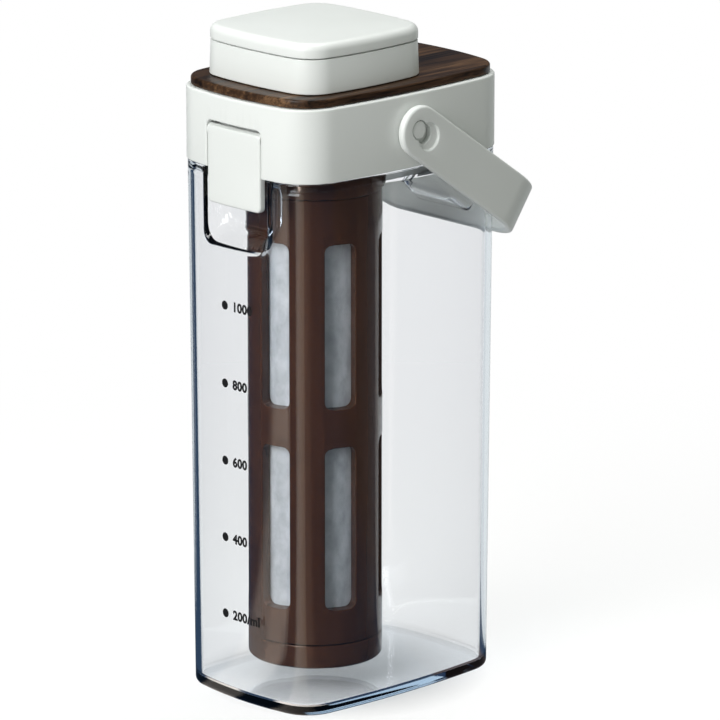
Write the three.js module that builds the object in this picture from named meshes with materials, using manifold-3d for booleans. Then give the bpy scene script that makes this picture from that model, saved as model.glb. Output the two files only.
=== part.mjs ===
// Cold brew coffee maker: a clear pitcher, a latching lid, a bail handle and a lift-out filter.
// Millimetres, +Z up. The origin is the centre of the base, and the narrow front faces -Y.

import * as THREE from 'three';
import { mergeVertices } from 'three/addons/utils/BufferGeometryUtils.js';
import Module from 'manifold-3d';

const wasm = await Module();
wasm.setup();

// Shared values
const SEAT_GAP = 0.3; // between pieces that rest on or fit in each other
const OVERRUN = 2; // how far a cutting tool passes the face it cuts
const QUARTER_TURN = Math.PI / 2;
const DEGREE = THREE.MathUtils.DEG2RAD;

// Plan of the lid and the jug: four gently bulging sides joined by tangent corner arcs
const LID_HALF_WIDTH = 38.5;
const LID_HALF_DEPTH = 54.4;
const LONG_SIDE_BULGE = 4;
const NARROW_SIDE_BULGE = 5.6;
const PLAN_CORNER_RADIUS = 16;

// Jug
const JUG_STEP_IN = 0.35; // the jug wall stands this far inside the lid's face
const JUG_DRAFT = 1.6; // each side leans in by this much from the shoulder to the base
const JUG_WALL = 2.5;
const JUG_FLOOR = 3.1;
const JUG_FOOT_RADIUS = 2.2;
const JUG_FLOOR_FILLET = 2;
const JUG_SHOULDER_Z = 202.2; // the lid rests on this shoulder
const JUG_SHOULDER_SLOPE = 4;
const RIM_WALL = 2.2;
const RIM_HEIGHT = 8;

// Finger pockets, scooped out of the jug's front and back under the latches
const POCKET_SIDE_ROOM = 2.8; // beside the latch tab
const POCKET_SIDE_TAPER = 3; // each side closes in by this much at the back of the pocket
const POCKET_DEPTH = 9.5;
const POCKET_DROP = 28.9; // from the shoulder down to the pocket's lower lip
const POCKET_RAMP_RISE = 7.2;
const POCKET_CORNER_RADIUS = 5;

// Lid shell
const LID_HEIGHT = 27.4;
const LID_BAND_WALL = 2.6;
const LID_DECK = 2.3;
const LID_EDGE_RADIUS = 0.8;

// Wood plate on the lid
const WOOD_INSET = 1.7;
const WOOD_THICKNESS = 3.2;
const WOOD_EDGE_RADIUS = 1;

// Lid tray, which plugs the jug's mouth and carries the gasket
const TRAY_RIM_CLEARANCE = 0.45;
const TRAY_LIFT = 1.3; // its floor lies this far above the jug's shoulder
const TRAY_FLOOR = 2;
const TRAY_WALL = 1.8;
const TRAY_SEAL_WALL = 4.4;
const TRAY_SEAL_HEIGHT = 7;
const GASKET_HEIGHT = 2.6;
const GASKET_DEPTH = 1.5;
const GASKET_LIFT = 2.6;

// Filter column: the knob, the neck and the filter share one upright axis
const COLUMN_POCKET_ROOM = 3.65; // between the front pocket's inner wall and the collar
const FILTER_STEP_IN = 0.3; // the cage stands this far inside the collar's wall
const FILTER_WALL = 4.3;
const FILTER_TOP_DROP = 11.2; // from the jug's shoulder down to the top of the cage
const FILTER_FLOOR_ROOM = 8.9; // between the jug's floor and the base cap
const CAP_HEIGHT = 9; // the base cap's part below the parting line
const FILTER_JOINT_GAP = 0.4;
const CAGE_SPIGOT_STEP = 1.8; // the spigot stands this far inside the cage's wall
const CAGE_SPIGOT_HEIGHT = 7;

// Filter windows: rows of tall rounded openings round the cage
const WINDOW_COUNT = 6;
const WINDOW_PHASE = -20 * DEGREE;
const WINDOW_WIDE_BAR = 9 * DEGREE; // one bar is this much wider than the others
const WINDOW_WIDTH = 14.6;
const WINDOW_CORNER_RADIUS = 3;
const WINDOW_ROWS = 2;
const WINDOW_LIFT = 22.6; // from the filter's bottom to its lower windows
const WINDOW_TOP_MARGIN = 16.6; // from the upper windows to the top of the cage
const WINDOW_ROW_BAR = 14.6; // solid band between the rows

// Filter mesh sleeve
const MESH_WALL = 0.7;
const MESH_END_MARGIN = 4;

// Filter base cap
const CAP_FLOOR = 2;
const CAP_WALL = 2.6;
const CAP_EDGE_RADIUS = 1.4;
const CAP_SOCKET_WALL = 3.9; // the cage's wall round the cap's spigot
const CAP_SPIGOT_WALL = 1.6;
const CAP_SPIGOT_HEIGHT = 6;
const CAP_SEAL_HEIGHT = 1.6;
const CAP_SEAL_DEPTH = 0.8;

// Filter collar, which hangs in the neck and takes the knob's bayonet
const COLLAR_CLEARANCE = 0.7; // inside the neck's seat
const COLLAR_FLANGE_CLEARANCE = 0.4; // inside the neck's bore
const COLLAR_FLANGE_HEIGHT = 2.2;
const COLLAR_NECK_CLEARANCE = 0.4; // inside the knob core's skirt
const COLLAR_NECK_WALL = 1.8;
const COLLAR_NECK_HEIGHT = 10;
const LUG_COUNT = 3;
const LUG_REACH = 1.4;
const LUG_HEIGHT = 2.2;
const LUG_ARC = 12 * DEGREE;
const LUG_LIFT = 5;

// Neck insert, which clamps the wood plate, the shell and the tray together
const NECK_SIDE_ROOM = 9.9; // from the lid's long side to the neck
const NECK_WALL = 1.8;
const NECK_SEAT_WIDTH = 1.2;
const NECK_FLANGE_WIDTH = 0.6;
const NECK_FLANGE_HEIGHT = 1.4;
const NECK_LIFT = 0.6; // above the jug's shoulder
const NECK_SEAT_HEIGHT = 4.6;
const SEAT_SEAL_HEIGHT = 1.2;

// Knob
const KNOB_OVERHANG = 2.5; // past the neck's flange
const KNOB_SIDE_BULGE = 2.9;
const KNOB_CORNER_RADIUS = 11.7;
const KNOB_DRAFT = 0.5;
const KNOB_RING_HEIGHT = 12.7;
const KNOB_WALL = 2.4;
const KNOB_DECK = 2.2;
const KNOB_SCREW_HOLE_RADIUS = 10;
const KNOB_GROOVE = 0.5;
const KNOB_TOP_HEIGHT = 5.4;
const KNOB_TOP_CROWN = 0.6;
const KNOB_TOP_EDGE = 2.8;
const KNOB_CROWN_RING_SHARES = [0.75, 0.45, 0.15];
const CORE_SKIRT_CLEARANCE = 0.6; // inside the neck's bore
const CORE_SKIRT_WALL = 3.2;
const CORE_DISC_LIP = 2.2; // past the skirt
const CORE_DISC_HEIGHT = 2.4;
const KNOB_TURN = 45 * DEGREE; // from locked to free
const CORE_SEAL_HEIGHT = 2.2;
const CORE_SEAL_DEPTH = 1.3;
const CORE_SEAL_DROP = 8;

// Latches at the front and back
const LATCH_HALF_WIDTH = 14.2;
const LATCH_RISE = 16; // the tab's top above the lid's lower edge
const LATCH_HEIGHT = 29;
const LATCH_CORNER_RADIUS = 2;
const LATCH_SIDE_GAP = 0.4;
const LATCH_TOP_GAP = 1.7;
const LATCH_PIN_RADIUS = 1.1;
const LATCH_PIN_BORE_RADIUS = 1.4;
const LATCH_PIN_DROP = 2.1; // pin axis under the tab's top edge
const LATCH_PIN_INSET = 3; // pin axis behind the band's face
const LATCH_BARREL_RADIUS = 2.3;
const LATCH_CHEEK_THICKNESS = 4;
const LATCH_PIN_BITE = 2.8; // how far the pin's ends sit in the cheeks
const LATCH_CHEEK_HALF_HEIGHT = 3.4;
const LATCH_HOOK_REACH = 2.6;
const LATCH_HOOK_HEIGHT = 2.4;
const LATCH_HOOK_HALF_WIDTH = 10;
const ROOF_THICKNESS = 2.5; // jug ledge over the pocket that the hook catches

// Bail handle
const HANDLE_PIVOT_RISE = 14.4; // above the lid's lower edge
const HANDLE_REST_ANGLE = 34.9 * DEGREE; // below the horizontal, towards the back
const HANDLE_SIDE_GAP = 0.4;
const HANDLE_THICKNESS = 3.2;
const HANDLE_WIDTH = 19.2;
const HANDLE_BEND_RADIUS = 18;
const HANDLE_EYE_OFFSET = 1.4; // the rounded root is centred this far along the arm
const HANDLE_SLOT_LENGTH = 3.6; // between the slot's end centres
const HANDLE_SLOT_RADIUS = 3.7;
const HANDLE_DISH_RADIUS = 5.1; // round dish about the slot's far end
const HANDLE_DISH_REACH = 5.6; // from the stud's axis to the dish's
const HANDLE_DISH_DEPTH = 1.1;
const STUD_RADIUS = 3.3;
const STUD_END_INSET = 0.4; // behind the arm's outer face
const STUD_BOSS_RADIUS = 5.4;
const STUD_BOSS_LENGTH = 2.6;

// Facet counts
const SIDE_STEPS = 4;
const CORNER_STEPS = 4;
const BEND_STEPS = 8;
const FILLET_STEPS = 3;
const SHORT_ARC_STEPS = 7;
const ROUND_STEPS = 30;
const SMALL_ROUND_STEPS = 14;

const MATERIALS = {
  clear: new THREE.MeshStandardMaterial({
    color: 0xe8f0f2, roughness: 0.05, transparent: true, opacity: 0.35,
  }),
  white: new THREE.MeshStandardMaterial({ color: 0xf1f1ec, roughness: 0.45, metalness: 0 }),
  wood: new THREE.MeshStandardMaterial({ color: 0x3f2a20, roughness: 0.55, metalness: 0 }),
  brown: new THREE.MeshStandardMaterial({ color: 0x4c3026, roughness: 0.3, metalness: 0 }),
  mesh: new THREE.MeshStandardMaterial({ color: 0xc9cdce, roughness: 0.7, metalness: 0 }),
  silicone: new THREE.MeshStandardMaterial({ color: 0xdcdcd8, roughness: 0.8, metalness: 0 }),
  steel: new THREE.MeshStandardMaterial({ color: 0xb8babc, roughness: 0.3, metalness: 1 }),
};

// A closed geometry as a solid, with its seams merged and its faces turned outwards.
function solid(geometry) {
  geometry.deleteAttribute('normal');
  geometry.deleteAttribute('uv');
  const merged = mergeVertices(geometry);
  const points = merged.getAttribute('position').array;
  const triangles = [];
  let volume = 0;
  const corners = [new THREE.Vector3(), new THREE.Vector3(), new THREE.Vector3()];
  for (let i = 0; i < merged.index.count; i += 3) {
    const ids = [merged.index.getX(i), merged.index.getX(i + 1), merged.index.getX(i + 2)];
    if (new Set(ids).size < 3) continue;
    triangles.push(ids);
    corners.forEach((corner, k) => corner.fromArray(points, ids[k] * 3));
    volume += corners[0].dot(corners[1].clone().cross(corners[2]));
  }
  if (volume < 0) triangles.forEach((ids) => ids.reverse());
  const mesh = new wasm.Mesh({
    numProp: 3,
    vertProperties: Float32Array.from(points),
    triVerts: Uint32Array.from(triangles.flat()),
  });
  return new wasm.Manifold(mesh);
}

// A named mesh from a solid.
function piece(name, body, material) {
  const data = body.getMesh();
  const geometry = new THREE.BufferGeometry();
  geometry.setAttribute('position', new THREE.BufferAttribute(data.vertProperties, 3));
  geometry.setIndex(new THREE.BufferAttribute(data.triVerts, 1));
  geometry.computeVertexNormals();
  const mesh = new THREE.Mesh(geometry, material);
  mesh.name = name;
  return mesh;
}

// Points along an arc, both ends included.
function arcPoints(centreX, centreY, radius, start, end, steps) {
  return Array.from({ length: steps + 1 }, (_, i) => {
    const angle = start + ((end - start) * i) / steps;
    return new THREE.Vector2(centreX + radius * Math.cos(angle), centreY + radius * Math.sin(angle));
  });
}

// A plan of four bulging sides and tangent corner arcs. Every inset keeps the arc centres, so all
// its rings have matching points at a true parallel distance.
class BulgedPlan {
  constructor(halfWidth, halfDepth, longBulge, narrowBulge, cornerRadius) {
    this.longRadius = (halfDepth ** 2 + longBulge ** 2) / (longBulge * 2);
    this.narrowRadius = (halfWidth ** 2 + narrowBulge ** 2) / (narrowBulge * 2);
    this.longCentre = halfWidth - this.longRadius;
    this.narrowCentre = halfDepth - this.narrowRadius;
    this.cornerRadius = cornerRadius;
    const a = this.longRadius - cornerRadius;
    const b = this.narrowRadius - cornerRadius;
    const apart = Math.hypot(this.longCentre, this.narrowCentre);
    const along = (a * a - b * b + apart * apart) / (apart * 2);
    const off = Math.sqrt(a * a - along * along);
    const ux = -this.longCentre / apart;
    const uy = this.narrowCentre / apart;
    this.corner = new THREE.Vector2(this.longCentre + ux * along - uy * off, uy * along + ux * off);
    if (this.corner.x < 0 || this.corner.y < 0) {
      this.corner.set(this.longCentre + ux * along + uy * off, uy * along - ux * off);
    }
    this.startAngle = Math.atan2(this.corner.y, this.corner.x - this.longCentre);
    this.endAngle = Math.atan2(this.corner.y - this.narrowCentre, this.corner.x);
  }

  // One closed ring of points, moved in from the outline by an inset.
  ring(inset) {
    const { startAngle: a1, endAngle: a2 } = this;
    const side = arcPoints(this.longCentre, 0, this.longRadius - inset, 0, a1, SIDE_STEPS);
    const corner = arcPoints(this.corner.x, this.corner.y, this.cornerRadius - inset, a1, a2, CORNER_STEPS);
    const end = arcPoints(0, this.narrowCentre, this.narrowRadius - inset, a2, QUARTER_TURN, SIDE_STEPS);
    const quarter = [...side.slice(0, -1), ...corner.slice(0, -1), ...end];
    const half = [...quarter, ...quarter.slice(0, -1).reverse().map((p) => new THREE.Vector2(-p.x, p.y))];
    const lower = half.slice(1, -1).reverse().map((p) => new THREE.Vector2(p.x, -p.y));
    return [...half, ...lower];
  }
}

// Radii of the column, worked out from the lid inwards
const NECK_OUTER_RADIUS = LID_HALF_WIDTH - NECK_SIDE_ROOM;
const NECK_HOLE_RADIUS = NECK_OUTER_RADIUS + SEAT_GAP;
const NECK_FLANGE_RADIUS = NECK_OUTER_RADIUS + NECK_FLANGE_WIDTH;
const NECK_BORE_RADIUS = NECK_OUTER_RADIUS - NECK_WALL;
const NECK_SEAT_RADIUS = NECK_BORE_RADIUS - NECK_SEAT_WIDTH;
const COLLAR_FLANGE_RADIUS = NECK_BORE_RADIUS - COLLAR_FLANGE_CLEARANCE;
const COLLAR_RADIUS = NECK_SEAT_RADIUS - COLLAR_CLEARANCE;
const FILTER_RADIUS = COLLAR_RADIUS - FILTER_STEP_IN;
const FILTER_BORE_RADIUS = FILTER_RADIUS - FILTER_WALL;
const CAP_SOCKET_RADIUS = FILTER_RADIUS - CAP_SOCKET_WALL;
const CAGE_SPIGOT_RADIUS = FILTER_RADIUS - CAGE_SPIGOT_STEP;
const CORE_SKIRT_RADIUS = NECK_BORE_RADIUS - CORE_SKIRT_CLEARANCE;
const CORE_SKIRT_BORE_RADIUS = CORE_SKIRT_RADIUS - CORE_SKIRT_WALL;
const CORE_DISC_RADIUS = CORE_SKIRT_RADIUS + CORE_DISC_LIP;
const COLLAR_NECK_RADIUS = CORE_SKIRT_BORE_RADIUS - COLLAR_NECK_CLEARANCE;
const COLLAR_BORE_RADIUS = COLLAR_NECK_RADIUS - COLLAR_NECK_WALL;
const KNOB_HALF_SIZE = NECK_FLANGE_RADIUS + KNOB_OVERHANG;

const LID_PLAN = new BulgedPlan(
  LID_HALF_WIDTH, LID_HALF_DEPTH, LONG_SIDE_BULGE, NARROW_SIDE_BULGE, PLAN_CORNER_RADIUS,
);
const KNOB_PLAN = new BulgedPlan(
  KNOB_HALF_SIZE, KNOB_HALF_SIZE, KNOB_SIDE_BULGE, KNOB_SIDE_BULGE, KNOB_CORNER_RADIUS,
);

// A skin through rings of matching points. It closes on itself, or its two ends are capped flat.
function loft(rings, closed) {
  const count = rings[0].length;
  const points = rings.flat();
  const index = [];
  const last = closed ? rings.length : rings.length - 1;
  for (let i = 0; i < last; i += 1) {
    const here = i * count;
    const next = ((i + 1) % rings.length) * count;
    for (let j = 0; j < count; j += 1) {
      const k = (j + 1) % count;
      index.push(here + j, here + k, next + k, here + j, next + k, next + j);
    }
  }
  if (!closed) {
    [0, rings.length - 1].forEach((ringIndex, end) => {
      const ring = rings[ringIndex];
      const hub = points.length;
      points.push(ring.reduce((sum, p) => sum.add(p), new THREE.Vector3()).divideScalar(count));
      for (let j = 0; j < count; j += 1) {
        const pair = [ringIndex * count + j, ringIndex * count + ((j + 1) % count)];
        index.push(hub, ...(end ? pair : pair.reverse()));
      }
    });
  }
  const geometry = new THREE.BufferGeometry().setFromPoints(points);
  geometry.setIndex(index);
  return solid(geometry);
}

// A solid whose level rings follow a plan, from a profile of [inset, z] pairs.
function planSolid(plan, profile, closed = false) {
  const rings = profile.map(([inset, z]) => plan.ring(inset).map((p) => new THREE.Vector3(p.x, p.y, z)));
  return loft(rings, closed);
}

// A body of revolution about the column's own upright axis, from [radius, z] pairs that form a loop.
function revolve(profile, steps = ROUND_STEPS) {
  const loop = [...profile, profile[0]].map(([radius, z]) => new THREE.Vector2(radius, z));
  return solid(new THREE.LatheGeometry(loop, steps).rotateX(QUARTER_TURN));
}

// An upright round bar or bore cutter.
function bar(radius, bottom, top, steps = ROUND_STEPS) {
  return revolve([[0, bottom], [radius, bottom], [radius, top], [0, top]], steps);
}

// A round bar along X between two places.
function crossBar(radius, from, to, y, z, steps = SMALL_ROUND_STEPS) {
  const geometry = new THREE.CylinderGeometry(radius, radius, to - from, steps);
  return solid(geometry.rotateZ(QUARTER_TURN).translate((from + to) / 2, y, z));
}

// A box between two corners.
function block(low, high) {
  const size = high.map((value, i) => value - low[i]);
  const middle = high.map((value, i) => (value + low[i]) / 2);
  return solid(new THREE.BoxGeometry(...size).translate(...middle));
}

// Corner points of a rounded fillet between two profile directions, as [inset, z] pairs.
function filletProfile(inset, z, radius, start, end) {
  return arcPoints(inset, z, radius, start, end, FILLET_STEPS).map((p) => [p.x, p.y]);
}

// A rounded rectangle in the XZ plane.
function uprightShape(halfWidth, bottom, top, bottomRadius, topRadius) {
  const shape = new THREE.Shape();
  shape.absarc(halfWidth - bottomRadius, bottom + bottomRadius, bottomRadius, -QUARTER_TURN, 0);
  shape.absarc(halfWidth - topRadius, top - topRadius, topRadius, 0, QUARTER_TURN);
  shape.absarc(topRadius - halfWidth, top - topRadius, topRadius, QUARTER_TURN, Math.PI);
  shape.absarc(bottomRadius - halfWidth, bottom + bottomRadius, bottomRadius, Math.PI, QUARTER_TURN * 3);
  return shape;
}

// A shape drawn in XZ, carried along Y from one place to another.
function throughY(shape, from, to) {
  const geometry = new THREE.ExtrudeGeometry(shape, {
    depth: to - from, bevelEnabled: false, curveSegments: FILLET_STEPS + 1,
  });
  return solid(geometry.rotateX(QUARTER_TURN).translate(0, to, 0));
}

// The same solid turned half a turn about the upright axis, for the back of the jug and lid.
function turnedToBack(body) {
  return body.rotate([0, 0, THREE.MathUtils.radToDeg(Math.PI)]);
}

// Both of a front feature and its copy at the back.
function frontAndBack(body) {
  return body.add(turnedToBack(body));
}

// Derived places
const POCKET_HALF_WIDTH = LATCH_HALF_WIDTH + POCKET_SIDE_ROOM;
const POCKET_INNER_HALF_WIDTH = POCKET_HALF_WIDTH - POCKET_SIDE_TAPER;
const POCKET_WALL_Y = JUG_STEP_IN + POCKET_DEPTH + JUG_WALL - LID_HALF_DEPTH;
const COLUMN_Y = POCKET_WALL_Y + COLUMN_POCKET_ROOM + COLLAR_RADIUS;
const LID_BOTTOM_Z = JUG_SHOULDER_Z + SEAT_GAP;
const LID_TOP_Z = LID_BOTTOM_Z + LID_HEIGHT;
const DECK_UNDERSIDE_Z = LID_TOP_Z - LID_DECK;
const RIM_OUTER_INSET = LID_BAND_WALL + SEAT_GAP + SEAT_GAP / 2;
const RIM_INNER_INSET = RIM_OUTER_INSET + RIM_WALL;
const RIM_TOP_Z = JUG_SHOULDER_Z + RIM_HEIGHT;
const JUG_TOP_INNER_INSET = JUG_STEP_IN + JUG_WALL;
const POCKET_ROOF_Z = JUG_SHOULDER_Z - ROOF_THICKNESS;
const POCKET_BOTTOM_Z = JUG_SHOULDER_Z - POCKET_DROP;
const POCKET_FACE_Y = -(LID_HALF_DEPTH - JUG_STEP_IN);
const TRAY_BOTTOM_Z = JUG_SHOULDER_Z + TRAY_LIFT;
const TRAY_INSET = RIM_INNER_INSET + TRAY_RIM_CLEARANCE;
const WOOD_BOTTOM_Z = LID_TOP_Z + SEAT_GAP;
const WOOD_TOP_Z = WOOD_BOTTOM_Z + WOOD_THICKNESS;
const NECK_FLANGE_Z = WOOD_TOP_Z + SEAT_GAP;
const KNOB_BOTTOM_Z = WOOD_TOP_Z + SEAT_GAP;
const NECK_BOTTOM_Z = JUG_SHOULDER_Z + NECK_LIFT;
const NECK_SEAT_Z = NECK_BOTTOM_Z + NECK_SEAT_HEIGHT;
const FILTER_TOP_Z = JUG_SHOULDER_Z - FILTER_TOP_DROP;
const FILTER_BOTTOM_Z = JUG_FLOOR + FILTER_FLOOR_ROOM;
const FILTER_JOINT_Z = FILTER_BOTTOM_Z + CAP_HEIGHT + FILTER_JOINT_GAP;
const COLLAR_BOTTOM_Z = FILTER_TOP_Z + SEAT_GAP;
const FLANGE_BOTTOM_Z = NECK_SEAT_Z + SEAT_GAP + SEAT_SEAL_HEIGHT + SEAT_GAP;
const FLANGE_TOP_Z = FLANGE_BOTTOM_Z + COLLAR_FLANGE_HEIGHT;
const COLLAR_TOP_Z = FLANGE_TOP_Z + COLLAR_NECK_HEIGHT;
const LUG_BOTTOM_Z = FLANGE_TOP_Z + LUG_LIFT;
const LUG_TOP_Z = LUG_BOTTOM_Z + LUG_HEIGHT;
const LATCH_TOP_Z = LID_BOTTOM_Z + LATCH_RISE;
const LATCH_PIN_Y = LATCH_PIN_INSET - LID_HALF_DEPTH;
const LATCH_PIN_Z = LATCH_TOP_Z - LATCH_PIN_DROP;
const LATCH_PIN_REACH = LATCH_HALF_WIDTH + LATCH_SIDE_GAP + LATCH_PIN_BITE;
const LATCH_BOTTOM_Z = LATCH_TOP_Z - LATCH_HEIGHT;
const HANDLE_PIVOT_Z = LID_BOTTOM_Z + HANDLE_PIVOT_RISE;
const HANDLE_INNER_X = LID_HALF_WIDTH + HANDLE_SIDE_GAP;
const HANDLE_OUTER_X = HANDLE_INNER_X + HANDLE_THICKNESS;
const WINDOW_SPAN = FILTER_TOP_Z - WINDOW_TOP_MARGIN - FILTER_BOTTOM_Z - WINDOW_LIFT;
const WINDOW_ROW_PITCH = (WINDOW_SPAN + WINDOW_ROW_BAR) / WINDOW_ROWS;
const WINDOW_HEIGHT = WINDOW_ROW_PITCH - WINDOW_ROW_BAR;
const WINDOW_PITCH = (Math.PI * 2 - WINDOW_WIDE_BAR) / WINDOW_COUNT;
const WINDOW_BOTTOMS = Array.from(
  { length: WINDOW_ROWS }, (_, row) => FILTER_BOTTOM_Z + WINDOW_LIFT + row * WINDOW_ROW_PITCH,
);

// How far the jug's outer wall stands in from the lid's outline at a height.
function jugInset(z) {
  return JUG_STEP_IN + JUG_DRAFT * (1 - z / JUG_SHOULDER_Z);
}

// The pocket's void, narrowing and ramping up as it goes in. The grown copy forms the wall round it.
function pocketVoid(wall, roof) {
  const sections = [-OVERRUN, POCKET_DEPTH + wall].map((depth) => {
    const share = depth / POCKET_DEPTH;
    const halfWidth = THREE.MathUtils.lerp(POCKET_HALF_WIDTH, POCKET_INNER_HALF_WIDTH, share) + wall;
    const bottom = POCKET_BOTTOM_Z + POCKET_RAMP_RISE * share - wall;
    const corner = POCKET_CORNER_RADIUS + wall;
    const outline = [
      ...arcPoints(halfWidth - corner, bottom + corner, corner, -QUARTER_TURN, 0, CORNER_STEPS),
      new THREE.Vector2(halfWidth, roof),
      new THREE.Vector2(-halfWidth, roof),
      ...arcPoints(corner - halfWidth, bottom + corner, corner, Math.PI, QUARTER_TURN * 3, CORNER_STEPS),
    ];
    return outline.map((p) => new THREE.Vector3(p.x, POCKET_FACE_Y + depth, p.y));
  });
  return loft(sections, false);
}

function makeJug() {
  const base = jugInset(0);
  const outside = planSolid(LID_PLAN, [
    ...filletProfile(base + JUG_FOOT_RADIUS, JUG_FOOT_RADIUS, JUG_FOOT_RADIUS, -QUARTER_TURN, -Math.PI),
    [jugInset(JUG_SHOULDER_Z), JUG_SHOULDER_Z],
    [RIM_OUTER_INSET, JUG_SHOULDER_Z],
    [RIM_OUTER_INSET, RIM_TOP_Z],
  ]);
  const filletInset = base + JUG_WALL + JUG_FLOOR_FILLET;
  const filletZ = JUG_FLOOR + JUG_FLOOR_FILLET;
  const inside = planSolid(LID_PLAN, [
    ...filletProfile(filletInset, filletZ, JUG_FLOOR_FILLET, -QUARTER_TURN, -Math.PI),
    [JUG_TOP_INNER_INSET, JUG_SHOULDER_Z - JUG_SHOULDER_SLOPE],
    [RIM_INNER_INSET, JUG_SHOULDER_Z],
    [RIM_INNER_INSET, RIM_TOP_Z + OVERRUN],
  ]);
  // The pocket is open up through the shoulder, in front of the rim, and roofed behind it.
  const ledgeCut = pocketVoid(0, JUG_SHOULDER_Z + OVERRUN);
  const insideRim = planSolid(LID_PLAN, [[RIM_OUTER_INSET, 0], [RIM_OUTER_INSET, RIM_TOP_Z]]);
  const scoop = pocketVoid(0, POCKET_ROOF_Z).add(ledgeCut.subtract(insideRim));
  const cavity = inside.subtract(frontAndBack(pocketVoid(JUG_WALL, JUG_SHOULDER_Z)));
  return piece('jug', outside.subtract(cavity).subtract(frontAndBack(scoop)), MATERIALS.clear);
}

// The cheek blocks behind the lid band that carry a latch pin's ends.
function latchCheeks() {
  const inner = LATCH_HALF_WIDTH + LATCH_SIDE_GAP;
  const back = LATCH_PIN_Y + LATCH_BARREL_RADIUS;
  const low = LATCH_PIN_Z - LATCH_CHEEK_HALF_HEIGHT;
  const high = LATCH_PIN_Z + LATCH_CHEEK_HALF_HEIGHT;
  const outerX = inner + LATCH_CHEEK_THICKNESS;
  const right = block([inner, LATCH_PIN_Y - LATCH_PIN_BORE_RADIUS, low], [outerX, back, high]);
  return right.add(right.mirror([1, 0, 0]));
}

// The opening in the band in which a latch tab hangs.
function latchNotch() {
  const halfWidth = LATCH_HALF_WIDTH + LATCH_SIDE_GAP;
  const top = LATCH_TOP_Z + LATCH_TOP_GAP;
  const corner = LATCH_CORNER_RADIUS + LATCH_SIDE_GAP;
  const shape = uprightShape(halfWidth, LATCH_BOTTOM_Z, top, corner, corner);
  return throughY(shape, -LID_HALF_DEPTH - OVERRUN, LID_BAND_WALL + OVERRUN - LID_HALF_DEPTH);
}

function makeLidShell() {
  const edge = LID_EDGE_RADIUS;
  let shell = planSolid(LID_PLAN, [
    [LID_BAND_WALL, DECK_UNDERSIDE_Z],
    [LID_BAND_WALL, LID_BOTTOM_Z],
    [0, LID_BOTTOM_Z],
    ...filletProfile(edge, LID_TOP_Z - edge, edge, Math.PI, QUARTER_TURN),
  ]);
  const bossInner = HANDLE_INNER_X - HANDLE_SIDE_GAP - LID_BAND_WALL - STUD_BOSS_LENGTH;
  const bossOuter = LID_HALF_WIDTH - LID_BAND_WALL / 2;
  const boss = crossBar(STUD_BOSS_RADIUS, bossInner, bossOuter, 0, HANDLE_PIVOT_Z);
  const studHole = crossBar(STUD_RADIUS + SEAT_GAP, -LID_HALF_WIDTH - OVERRUN,
    LID_HALF_WIDTH + OVERRUN, 0, HANDLE_PIVOT_Z);
  const pinReach = LATCH_PIN_REACH + SEAT_GAP;
  const pinHole = crossBar(LATCH_PIN_BORE_RADIUS, -pinReach, pinReach, LATCH_PIN_Y, LATCH_PIN_Z);
  shell = shell.subtract(frontAndBack(latchNotch()));
  shell = shell.add(boss).add(boss.mirror([1, 0, 0])).add(frontAndBack(latchCheeks()));
  shell = shell.subtract(studHole).subtract(frontAndBack(pinHole));
  const neckHole = bar(NECK_HOLE_RADIUS, DECK_UNDERSIDE_Z - OVERRUN, LID_TOP_Z + OVERRUN);
  return piece('lid_shell', shell.subtract(neckHole.translate([0, COLUMN_Y, 0])), MATERIALS.white);
}

function makeWoodPlate() {
  const edge = WOOD_EDGE_RADIUS;
  const plate = planSolid(LID_PLAN, [
    [WOOD_INSET, WOOD_BOTTOM_Z],
    ...filletProfile(WOOD_INSET + edge, WOOD_TOP_Z - edge, edge, Math.PI, QUARTER_TURN),
  ]);
  const hole = bar(NECK_HOLE_RADIUS, WOOD_BOTTOM_Z - OVERRUN, WOOD_TOP_Z + OVERRUN);
  return piece('wood_plate', plate.subtract(hole.translate([0, COLUMN_Y, 0])), MATERIALS.wood);
}

function makeLidTray() {
  const top = DECK_UNDERSIDE_Z - SEAT_GAP;
  const floorTop = TRAY_BOTTOM_Z + TRAY_FLOOR;
  const sealTop = TRAY_BOTTOM_Z + TRAY_SEAL_HEIGHT;
  const grooveInset = TRAY_INSET + GASKET_DEPTH + SEAT_GAP;
  const grooveLow = TRAY_BOTTOM_Z + GASKET_LIFT - SEAT_GAP;
  const grooveHigh = TRAY_BOTTOM_Z + GASKET_LIFT + GASKET_HEIGHT + SEAT_GAP;
  const tray = planSolid(LID_PLAN, [
    [TRAY_INSET, TRAY_BOTTOM_Z],
    [TRAY_INSET, grooveLow],
    [grooveInset, grooveLow],
    [grooveInset, grooveHigh],
    [TRAY_INSET, grooveHigh],
    [TRAY_INSET, top],
    [TRAY_INSET + TRAY_WALL, top],
    [TRAY_INSET + TRAY_WALL, sealTop],
    [TRAY_INSET + TRAY_SEAL_WALL, sealTop],
    [TRAY_INSET + TRAY_SEAL_WALL, floorTop],
  ]);
  const hole = bar(NECK_HOLE_RADIUS, TRAY_BOTTOM_Z - OVERRUN, top + OVERRUN);
  return piece('lid_tray', tray.subtract(hole.translate([0, COLUMN_Y, 0])), MATERIALS.white);
}

function makeLidGasket() {
  const outer = RIM_INNER_INSET + SEAT_GAP / 2;
  const inner = TRAY_INSET + GASKET_DEPTH;
  const low = TRAY_BOTTOM_Z + GASKET_LIFT;
  const high = low + GASKET_HEIGHT;
  const middle = (low + high) / 2;
  const lip = outer + SEAT_GAP;
  const profile = [[inner, high], [inner, low], [lip, low], [outer, middle], [lip, high]];
  return piece('lid_gasket', planSolid(LID_PLAN, profile, true), MATERIALS.silicone);
}

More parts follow.
